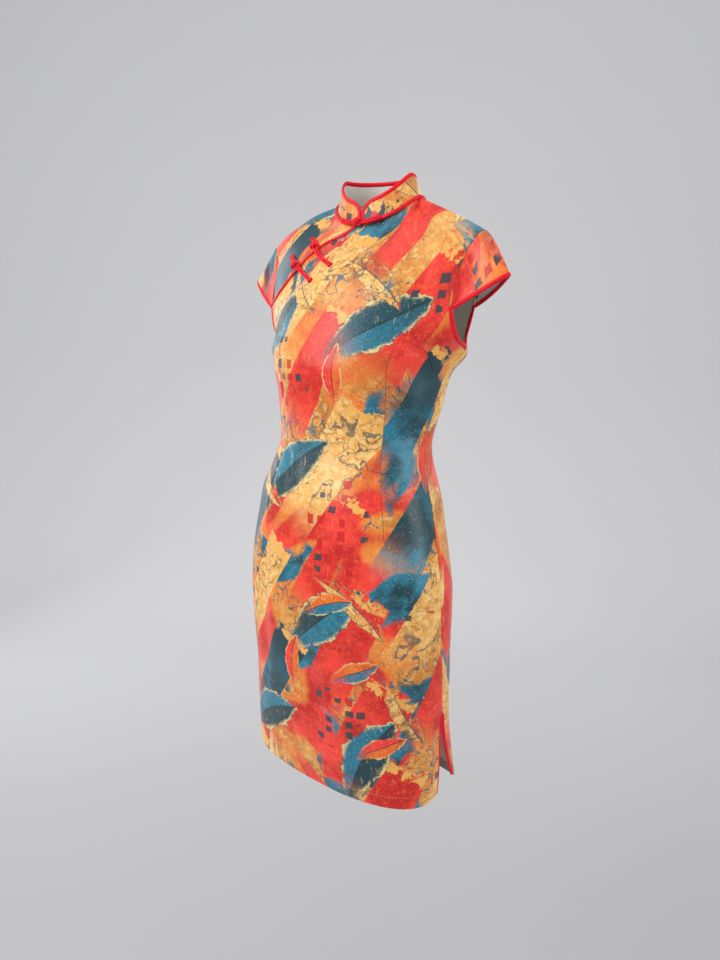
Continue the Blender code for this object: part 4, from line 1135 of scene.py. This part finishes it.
def doubled_cord(name, line, out, knot=None):
    """The parts of a doubled cord along a line, its ends turned under where the line starts. With a knot's
    centre and outside, the cord goes round that knot past the end of the line, as the loop does."""
    forward = unit(np.gradient(line, axis=0))
    aside = unit(np.cross(forward, out)) * CORD_APART
    paths = [(line - aside, out), (line + aside, out)]
    if knot:
        centre, knot_out = knot
        turn = np.linspace(-LOOP_TURN, LOOP_TURN, 22)
        bow = centre - knot_out * LOOP_LOW + np.outer(np.cos(turn) * LOOP_RADIUS, forward[-1])
        bow += np.outer(np.sin(turn) * LOOP_RADIUS, unit(aside[-1]))
        outs = np.concatenate([out, np.repeat(knot_out[None], len(bow), axis=0), out[::-1]])
        paths = [(np.concatenate([line - aside, bow, (line + aside)[::-1]]), outs)]
    parts = []
    for path, up in paths:
        path, up = spaced(path, up, CORD_STEP)
        path = smoothed(path, 6) if knot else path
        parts.append(tube(name, path, up, CORD, CORD * 0.92, CORD_SIDES))
    return [*parts, end_roll(f"{name}_end", line, out)]


# %% Frogs of the opening
LOOP_CLIMB, LOOP_CLIMB_OVER = 0.66, 0.24     # where a loop climbs over the piping, as shares of its way


def cord_way(start, end, at):
    """Points of the front on the straight way between two spots, at shares of it, with their outsides."""
    spots = start + (end - start) * at[:, None]
    return (*on_panel("front", spots[:, 0], spots[:, 1]), spots)


def make_frog(name, bar_end, crossing, tail_end):
    bar_end, crossing, tail_end = (np.array(spot) for spot in (bar_end, crossing, tail_end))
    over = 2 * PIPING + SEAM_GAP - UNDERLAP_INSET + CORD
    past = np.linspace(0, 1, 60)
    line, line_out, _ = cord_way(crossing, tail_end, past)
    ball_level = BALL + SEAM_GAP * 2 - UNDERLAP_INSET
    centres = line + line_out * ball_level
    first = int(np.flatnonzero(nearest(centres, slant_line) > BALL * 0.9 + PIPING)[0])
    centre, centre_out = centres[first], line_out[first]

    share = np.linspace(0, 1, 30)
    base, out, _ = cord_way(bar_end, crossing, share)
    level = CORD + (over - CORD) * ease((share - LOOP_CLIMB) / LOOP_CLIMB_OVER)
    loop = doubled_cord(f"{name}_loop_cord", base + out * level[:, None], out, (centre, centre_out))
    keep(joined(f"{name}_loop_cord", loop), "piping", f"{name}_loop")

    base, out, spots = cord_way(crossing, tail_end, np.linspace(1, past[first], 24))
    low = CORD - underlap_inset(spots[:, 0], spots[:, 1])
    level = low + (ball_level - low) * ease(np.linspace(-1.6, 1, 24))
    tail = doubled_cord(f"{name}_tail", base + out * level[:, None], out)
    forward = unit(base[-1] - base[-2])
    hung = centre + centre_out * KNOT_OUT - np.cross(-forward, centre_out) * KNOT_ASIDE
    knot = tie_knot(f"{name}_knot", hung, centre_out, forward)
    keep(joined(f"{name}_button_cord", [*tail, knot]), "piping", f"{name}_button")


for frog in FROGS:
    make_frog(*frog)

# %% Frog of the collar
def on_neck_roll(at):
    """Where a cord lies on the roll round the neck, and the outside there."""
    way = along_line(neck_cord, at)
    out = unit(way[:, 3:])
    return way[:, :3] + out * (PIPING + CORD), out


def make_neck_frog():
    first = along_line(neck_cord, [0.0])[0]
    out = unit(first[3:])
    centre = first[:3] + out * (PIPING + BALL)
    whole = travelled(neck_cord)[-1]
    left_at = np.linspace(NECK_FROG_REACH["left"], BALL, 26)
    right_at = whole - np.linspace(NECK_FROG_REACH["right"], BALL * 0.6, 26)
    loop = doubled_cord("frog_collar_loop_cord", *on_neck_roll(left_at), (centre, out))
    keep(joined("frog_collar_loop_cord", loop), "piping", "frog_collar_loop")
    tail = doubled_cord("frog_collar_tail", *on_neck_roll(right_at))
    hung = centre + out * KNOT_OUT - upward * KNOT_ASIDE * 0.7
    knot = tie_knot("frog_collar_knot", hung, out, np.array([1.0, 0, 0]))
    keep(joined("frog_collar_button_cord", [*tail, knot]), "piping", "frog_collar_button")


make_neck_frog()
print("pieces", sorted(made))

# %% [markdown]
# ## Materials
#
# A scan or a painted picture could give the cloth its look, but a recipe of nodes stays sharp at any distance
# and can be read. What comes out of a node is wrapped as a value here, so each step of a recipe is plain
# arithmetic: adding, multiplying or comparing values makes the next node.

# %% A recipe of nodes
class Value:
    """What comes out of a node. Working with it adds further nodes."""

    def __init__(self, recipe, socket):
        self.recipe, self.socket = recipe, socket

    def sum(self, operation, *others, **settings):
        return self.recipe.node("ShaderNodeMath", [self, *others], operation=operation, **settings)

    def vector_sum(self, operation, *others):
        return self.recipe.node("ShaderNodeVectorMath", [self, *others], operation=operation)

    def step(self, low, high):
        """0 below low and 1 above high, with a smooth change between."""
        ends = {"Value": self, "From Min": low, "From Max": high}
        return self.recipe.node("ShaderNodeMapRange", ends, "Result", interpolation_type="SMOOTHSTEP")

    def parts(self):
        node = self.recipe.node("ShaderNodeSeparateXYZ", [self]).socket.node
        return [Value(self.recipe, socket) for socket in node.outputs]

    def turned(self, angle):
        turn = {"Vector": self, "Angle": angle}
        return self.recipe.node("ShaderNodeVectorRotate", turn, rotation_type="Z_AXIS")

    def noise(self, scale, detail=2, rough=0.5, bend=0.0, out="Fac"):
        look = {"Vector": self, "Scale": scale, "Detail": detail, "Roughness": rough, "Distortion": bend}
        return self.recipe.node("ShaderNodeTexNoise", look, out)

    def cracks(self, scale):
        """Distance to the edges of irregular cells."""
        look = {"Vector": self, "Scale": scale}
        return self.recipe.node("ShaderNodeTexVoronoi", look, "Distance", feature="DISTANCE_TO_EDGE")

    def chance(self):
        """Three chance numbers for a place."""
        return self.recipe.node("ShaderNodeTexWhiteNoise", {"Vector": self}, "Color").parts()

    def bump(self, distance, strength, under=None):
        relief = {"Height": self, "Distance": distance, "Strength": strength}
        if under:
            relief["Normal"] = under
        return self.recipe.node("ShaderNodeBump", relief, "Normal")


SUMS = {"__add__": "ADD", "__sub__": "SUBTRACT", "__mul__": "MULTIPLY", "__truediv__": "DIVIDE",
        "__pow__": "POWER", "__gt__": "GREATER_THAN", "__lt__": "LESS_THAN", "__abs__": "ABSOLUTE",
        "larger": "MAXIMUM", "fit": "MULTIPLY_ADD", "floor": "FLOOR", "fraction": "FRACT",
        "exponent": "EXPONENT", "sign": "SIGN", "sine": "SINE", "cosine": "COSINE"}
VECTOR_SUMS = {"shifted": "ADD", "stretched": "MULTIPLY", "cell": "FLOOR", "in_cell": "FRACTION"}
for way, operation in SUMS.items():
    setattr(Value, way, partialmethod(Value.sum, operation))
for way, operation in VECTOR_SUMS.items():
    setattr(Value, way, partialmethod(Value.vector_sum, operation))


class Recipe:
    """A material that is written as a list of steps."""

    def __init__(self, name):
        self.material = bpy.data.materials.new(name)
        self.material.use_nodes = True
        self.tree = self.material.node_tree

    def plug(self, socket, value):
        if isinstance(value, Value):
            self.tree.links.new(value.socket, socket)
        elif socket.type == "RGBA":
            socket.default_value = (*value, 1)
        else:
            socket.default_value = value

    def node(self, kind, inputs=(), out=0, **settings):
        """Add a node, fill its inputs by name or in their order, and hand back one thing that comes out."""
        node = self.tree.nodes.new(kind)
        for key, value in settings.items():
            setattr(node, key, value)
        for key, value in inputs.items() if isinstance(inputs, dict) else enumerate(inputs):
            self.plug(node.inputs[key], value)
        return Value(self, node.outputs[out])

    def stored(self, name):
        return self.node("ShaderNodeAttribute", out="Vector", attribute_name=name)

    def together(self, *parts):
        return self.node("ShaderNodeCombineXYZ", parts)

    def mix(self, share, one, two):
        return self.node("ShaderNodeMix", {"Factor": share, "A": one, "B": two}, "Result", data_type="RGBA")

    def coats(self, colour, *coats):
        """Coats of dye over a colour, each laid on through its own share."""
        for share, coat in coats:
            colour = self.mix(share, colour, coat)
        return colour

    def finish(self, **sockets):
        for key, value in sockets.items():
            self.plug(self.tree.nodes["Principled BSDF"].inputs[key.replace("_", " ")], value)
        return self.material


# %% [markdown]
# ### Printed satin
#
# The print is a generic one in warm reds, ochre and petrol blue: drifts of dye and long slanting panes under
# scattered leaves in four sizes, with torn golden edges, ink lines and small squares. Every leaf lies in its
# own cell of a grid, and chance numbers for the cell turn it, shift it and choose its dye. The pattern is
# read from the flat cut, so it breaks at the seams and darts as printed cloth does.

# %% Dyes
CORAL, SCARLET, ORANGE = (0.97, 0.052, 0.036), (0.60, 0.010, 0.010), (0.92, 0.190, 0.020)
OCHRE, GOLD, STRAW = (0.60, 0.220, 0.034), (0.90, 0.450, 0.100), (1.00, 0.740, 0.300)
PETROL, TEAL, INK = (0.010, 0.054, 0.070), (0.020, 0.215, 0.320), (0.016, 0.030, 0.030)
SIENNA = (0.34, 0.085, 0.020)


# %% Scattered leaves
def leaf_layer(dye, where, grain, size, turn, spread, slender, density, seed):
    """One scatter of leaves: how much leaf is at a point, its side of the midrib, its torn rim, its lines, a
    chance number for its dye, and how far in from the leaf's edge the point is."""
    scaled = where.stretched([1 / size] * 3).shifted((seed * 3.17, seed * 1.73, seed))
    across_grid, up_grid, layer = scaled.parts()
    row = up_grid.floor()
    staggered = across_grid + row * 0.37
    column = staggered.floor()
    one, two, three = dye.together(column, row, (layer + 0.5).floor()).chance()
    local_x = staggered - column - 0.5 + two.fit(0.14, -0.07)
    local_y = up_grid - row - 0.5 + one.fit(0.14, -0.07)
    spin = three.fit(spread, turn - spread / 2)
    along, off, _ = dye.together(local_x, local_y, 0.0).turned(spin).parts()
    along = along / 0.47
    off = off + along * along * two.fit(0.22, -0.11)
    wide = abs(off)
    belly = (abs(along) ** 1.7).fit(-1.0, 1.0)
    inside = belly * along.fit(0.30, 1.0) * slender - wide + (grain - 0.5) * (slender * 0.85)
    present = (one * 7.31).fraction() < density
    melting = (along + two * 0.5).step(-0.75, 0.15)
    leaf = inside.step(0.0, 0.012) * present * melting
    rim = leaf * inside.step(slender * 0.26, slender * 0.06)
    slant = along * 3.6 - wide * 13.0 + grain * 1.5
    vein = abs(slant.fraction() - 0.5).step(grain.fit(0.11, -0.022), 0.0)
    vein = vein * inside.step(slender * 0.20, slender * 0.45)
    midrib = wide.step(slender * 0.075, slender * 0.030)
    return leaf, off > 0.0, rim, leaf * vein.larger(midrib), (two * 5.77).fraction(), inside


# %% Slanting panes
PANE_TURN, PANE_WIDE, PANE_LONG = 0.50, 0.088, 0.250


def slanting_panes(dye, where, grain, haze):
    """Long panes in slanting columns, straight along both sides, torn at the top and fading out below."""
    across, along, layer = where.turned(PANE_TURN).parts()
    across = across / PANE_WIDE
    column = across.floor()
    along = along / PANE_LONG + column * 0.43
    row = along.floor()
    one, two, three = dye.together(column, row, (layer + 0.5).floor()).shifted((2.0, 5.0, 3.0)).chance()
    share = along.fraction()
    width = three.fit(0.35, 0.55) + (share - 0.5) * two.fit(0.7, -0.35)
    straight = across.fraction().step(width, width - 0.010)
    top = share + grain * 0.20
    fading = (share + haze * 0.25).step(0.14, 0.46)
    pane = straight * fading * top.step(1.03, 1.02)
    return pane, pane * top.step(0.955, 0.965), one, share


# %% Print
# Folds in which the dress was packed, each a faint dent with a line of painted shade along it: height, from
# x, to x on the pattern.
PACKING_CREASES = ((-0.577, 0.100, 0.232), (-0.590, 0.165, 0.232), (-0.658, 0.095, 0.200),
              (-0.655, -0.180, -0.060), (-0.440, -0.060, 0.060))
SQUARE = 0.0185              # metres from one small square to the next

#   size   turn  spread slender density seed  dyes of its halves, rim,  lines,  chance dye
LEAVES = (
    (0.290, 0.90, 0.50, 0.160, 0.34, 1.0, CORAL, SCARLET, GOLD, SCARLET, ORANGE),
    (0.210, -0.85, 0.80, 0.170, 0.34, 2.0, TEAL, PETROL, STRAW, INK, PETROL),
    (0.160, 1.15, 1.20, 0.120, 0.34, 3.0, "straw", "ground", "straw", PETROL, STRAW),
    (0.110, -0.95, 1.60, 0.150, 0.24, 4.0, ORANGE, CORAL, STRAW, INK, TEAL),
)


def printed_satin():
    dye = Recipe("printed_satin")
    cut = dye.stored("cut")
    beside_long, beside_bust, above_hem = dye.stored("seams").parts()
    long_taken, bust_taken, _ = dye.stored("taken").parts()
    x, y, panel = cut.parts()
    # Along each dart the print jumps, and a thin ink line is laid on as a painted shadow in the sewn groove;
    # the sleeve seams get the same line.
    jumps, dart_and_seam_shadows = [], []
    for beside, taken in ((beside_long, long_taken), (beside_bust, bust_taken)):
        far = abs(beside)
        jumps.append(beside.sign() * (far * -22.0).exponent() * taken)
        dart_and_seam_shadows.append(far.step(0.0010, 0.0003) * (taken > 0.0004))
    dart_and_seam_shadow = dart_and_seam_shadows[0].larger(dart_and_seam_shadows[1])
    where = dye.together(x + (jumps[0] + jumps[1]) * x.sign(), y, panel)

    fine = where.noise(95, 3, 0.62)
    tear = where.noise(48, 4, 0.66, 0.6)
    broad = where.shifted((0.9, 5.2, 0.0)).noise(5, 2, 0.50, 0.9)
    drift = where.shifted((3.1, 1.7, 0.4)).noise(6.5, 2, 0.55, 1.2)
    cloudy = where.noise(16, 4, 0.60, 0.5)
    streak = where.stretched((190, 60, 1)).noise(1, 3, 0.62, 0.8)
    speck = where.stretched((520, 300, 1)).noise(1, 1).step(0.66, 0.72)

    wavy = where.shifted(where.noise(30, 3, 0.6, out="Color").stretched((0.04, 0.04, 0.04)))
    crack = wavy.cracks(58).step(0.060, 0.016) * drift.step(0.40, 0.52)
    small_crack = wavy.cracks(150).step(0.10, 0.03) * tear.step(0.42, 0.62) * 0.55
    crazed = crack.larger(small_crack)
    contour = abs((wavy.noise(11, 1, 0.5, 1.4) * 5.5).fraction() - 0.5)
    ink_zone = where.shifted((5.5, 0.3, 0.2)).noise(9, 1, 0.4).step(0.47, 0.50)
    inked = contour.step(tear.fit(0.30, -0.05), 0.03) * ink_zone * 0.90

    warm = dye.coats(dye.mix(cloudy.step(0.38, 0.64), SCARLET, CORAL),
                     (streak.step(0.60, 0.72) * 0.30, GOLD),
                     (fine.step(0.46, 0.34) * 0.35, ORANGE),
                     (speck * 0.55, GOLD))
    cool = dye.coats(dye.mix(cloudy.step(0.38, 0.62), PETROL, TEAL),
                     (streak.step(0.64, 0.74) * 0.35, STRAW),
                     (speck * 0.40, STRAW))
    glow = broad + streak.fit(0.05, -0.025)
    ground = dye.coats(dye.mix(cloudy.step(0.36, 0.66), OCHRE, GOLD),
                       (fine.step(0.50, 0.70) * 0.60, STRAW),
                       (fine.step(0.47, 0.28) * 0.50, ORANGE),
                       (crazed * 0.75, SIENNA),
                       (glow.step(0.46, 0.53) * 0.60, ORANGE),
                       (inked, dye.mix(cloudy, INK, TEAL)),
                       (glow.step(0.520, 0.575), warm),
                       (drift.step(0.550, 0.600), cool))

    pane, pane_rim, luck, share = slanting_panes(dye, where, tear, cloudy)
    straw = dye.coats(dye.mix(fine.step(0.40, 0.65) * 0.7, GOLD, STRAW),
                      (crazed * 0.55, SIENNA),
                      (inked * 0.8, PETROL))
    glaze = dye.coats(dye.mix(luck > 0.40, warm, straw),
                      (luck > 0.68, dye.mix(share.step(0.3, 0.8), cool, PETROL)),
                      (pane_rim * tear.step(0.40, 0.50), GOLD))
    ground = dye.mix(pane * (luck < 0.88), ground, glaze)

    colour = ground
    painted = {"straw": straw, "ground": ground}
    for *form, one, two, rim_dye, line_dye, chance_dye in LEAVES:
        one, two, rim_dye = (painted.get(dye_name, dye_name) for dye_name in (one, two, rim_dye))
        leaf, side, rim, lines, luck, inside = leaf_layer(dye, where, tear, *form)
        body = dye.coats(dye.mix(side, one, two),
                         (luck.step(0.70, 0.74), dye.mix(side, chance_dye, one)),
                         (cloudy.step(0.46, 0.70) * 0.60, ORANGE if one is CORAL else two),
                         (fine.step(0.44, 0.30) * 0.40, two),
                         (streak.step(0.60, 0.72) * 0.38, STRAW),
                         (speck * 0.45, STRAW),
                         (crazed * 0.35, line_dye),
                         (lines * 0.72, line_dye),
                         (rim * tear.step(0.42, 0.54), rim_dye),
                         (inside.step(0.018, 0.006) * 0.75, INK))
        colour = dye.mix(leaf, colour, body)

    grid = where.stretched([1 / SQUARE] * 3)
    lucky, shade, _ = grid.cell().chance()
    cell_x, cell_y, _ = grid.in_cell().shifted((-0.5, -0.5, -0.5)).parts()
    far = abs(cell_x).larger(abs(cell_y) * shade.fit(0.5, 0.75))
    band = where.shifted((7.7, 2.2, 0.9)).noise(8.5, 1, 0.4).step(0.585, 0.60)
    square = (far + tear * 0.55).sum("LESS_THAN", lucky.fit(0.30, 0.34)) * band * (lucky > 0.55)

    stitch = abs(above_hem - HEM_DEPTH).step(0.0007, 0.0002) * ((x * 2400.0).sine() > -0.35)
    # Each packing crease is a shallow dent in the bump and a line of painted shade in the colour.
    crease_lines = [abs(y - level).step(0.0020, 0.0003) * (x.step(start, start + 0.025) * x.step(end, end - 0.015))
             for level, start, end in PACKING_CREASES]
    crease_dent_and_shade = reduce(Value.larger, crease_lines) * tear.fit(1.6, -0.2, use_clamp=True)
    # Over the print: small squares, painted shadow lines along the darts and seams, gold hem stitching, and
    # painted shade along the packing creases.
    colour = dye.coats(colour,
                       (square * 0.90, dye.mix(shade > 0.5, SCARLET, PETROL)),
                       (dart_and_seam_shadow * 0.45, INK),
                       (stitch * 0.60, GOLD),
                       (crease_dent_and_shade * 0.22, INK))

    under = cut.noise(34, 3, 0.55, 0.4).bump(0.0012, 0.55)
    under = cut.stretched((900, 340, 1)).noise(1, 1).bump(0.00010, 0.45, under)
    under = crease_dent_and_shade.bump(0.0009, 0.8, under)
    normal = (dart_and_seam_shadow.larger(stitch) * -1.0).bump(0.0006, 0.9, under)
    return dye.finish(Base_Color=colour, Roughness=cloudy.fit(0.12, 0.27), Normal=normal, Sheen_Weight=0.04,
                      Sheen_Roughness=0.45, Specular_IOR_Level=0.40)


satin = printed_satin()
print("print uses", len(satin.node_tree.nodes), "nodes")

# %% [markdown]
# ### Lining, seam edge and piping
#
# The lining is a pale plain weave, duller than the satin. The overlocked edge has brown thread in slanting
# loops. The piping is the same kind of satin in one red: its weave runs slantwise, because the strip is cut
# on the bias, and a row of tiny pinches runs along it where the stitches pull.

# %% Lining and facing
def plain_weave(name, soft_scale, weave, relief, shades, rough, sheen, hem_shades=None):
    """A dull woven cloth in two close shades. The turned-up hem can have two shades of its own."""
    dye = Recipe(name)
    cut = dye.stored("cut")
    soft = cut.noise(soft_scale, 3)
    colour = dye.mix(soft, *shades)
    if hem_shades:
        turned_up = dye.stored("seams").parts()[2].step(HEM_DEPTH + 0.001, HEM_DEPTH - 0.001)
        colour = dye.mix(turned_up, colour, dye.mix(soft, *hem_shades))
    normal = cut.stretched((*weave, 1)).noise(1, 1).bump(0.00012, 0.5, soft.bump(relief, 0.5))
    return dye.finish(Base_Color=colour, Roughness=soft.fit(0.1, rough), Normal=normal, Sheen_Weight=sheen)


lining = plain_weave("pale_lining", 22, (1300, 1300), 0.0012, ((0.80, 0.76, 0.68), (0.88, 0.85, 0.79)),
                     0.52, 0.15)
facing = plain_weave("tan_facing", 40, (1100, 500), 0.0010, ((0.42, 0.270, 0.170), (0.58, 0.400, 0.270)),
                     0.48, 0.10, hem_shades=((0.17, 0.080, 0.045), (0.30, 0.160, 0.095)))


# %% Seam edge, piping and floor
def overlock_thread():
    dye = Recipe("overlock_thread")
    x, y, _ = dye.stored("cut").parts()
    loop = (x * 2300.0 + y * 900.0).sine().fit(0.5, 0.5)
    worn = dye.together(x, y, 0.0).noise(160)
    colour = dye.mix(loop, (0.16, 0.070, 0.035), (0.36, 0.19, 0.10))
    colour = dye.mix(worn * 0.4, colour, (0.50, 0.32, 0.20))
    return dye.finish(Base_Color=colour, Roughness=worn.fit(0.1, 0.62), Normal=loop.bump(0.0003, 0.8))


def red_satin():
    dye = Recipe("red_satin")
    far, turn, _ = dye.stored("cord").parts()
    angle = turn * (2 * math.pi)
    spot = dye.together(far, angle.cosine(), angle.sine())
    slant = ((far + turn * 0.0132) * 5200.0).sine()
    pucker = spot.stretched((330.0, 0.8, 0.8)).noise(1)
    tone = spot.stretched((60.0, 0.6, 0.6)).noise(1)
    normal = slant.bump(0.00006, 0.5, pucker.bump(0.0007, 0.75))
    return dye.finish(Base_Color=dye.mix(tone, (0.64, 0.001, 0.010), (0.92, 0.004, 0.022)),
                      Roughness=tone.fit(0.12, 0.32), Normal=normal, Specular_IOR_Level=0.24)


def studio_floor():
    """Matt grey paint, a little lighter on the wall than on the floor: the darker floor is a painted shade
    that evens out the stronger lamp light falling on it.
    """
    paint = Recipe("studio_floor")
    place = paint.node("ShaderNodeNewGeometry", out="Position")
    across, along, _ = place.parts()
    behind = across * -level_back[0] + along * -level_back[1]
    patch = place.noise(1.6, 3)
    # The floor's paint is darkened as a painted shade, against the soft boxes' stronger light on the floor.
    floor_painted_shade = paint.mix(patch, (0.470, 0.470, 0.480), (0.484, 0.484, 0.494))
    on_wall = paint.mix(patch, (0.750, 0.750, 0.762), (0.765, 0.765, 0.777))
    colour = paint.mix(behind.step(0.2, FLOOR_BACK - 0.6), floor_painted_shade, on_wall)
    return paint.finish(Base_Color=colour, Roughness=0.9)


thread, red, floor_paint = overlock_thread(), red_satin(), studio_floor()

# %% Dress the pieces
floor.data.materials.append(floor_paint)
for name, piece in made.items():
    if name.startswith("seam_edge"):
        materials = (thread, thread)
    elif "OFBake" in piece.data.uv_layers:
        materials = (satin, lining, facing)
    else:
        materials = (red,)
    for material in materials:
        piece.data.materials.append(material)
triangles = {name: sum(len(p.vertices) - 2 for p in piece.data.polygons) for name, piece in made.items()}
print("triangles in all", sum(triangles.values()), "most in one piece", max(triangles.values()))

# %% Bring the scene up to date
bpy.context.view_layer.update()
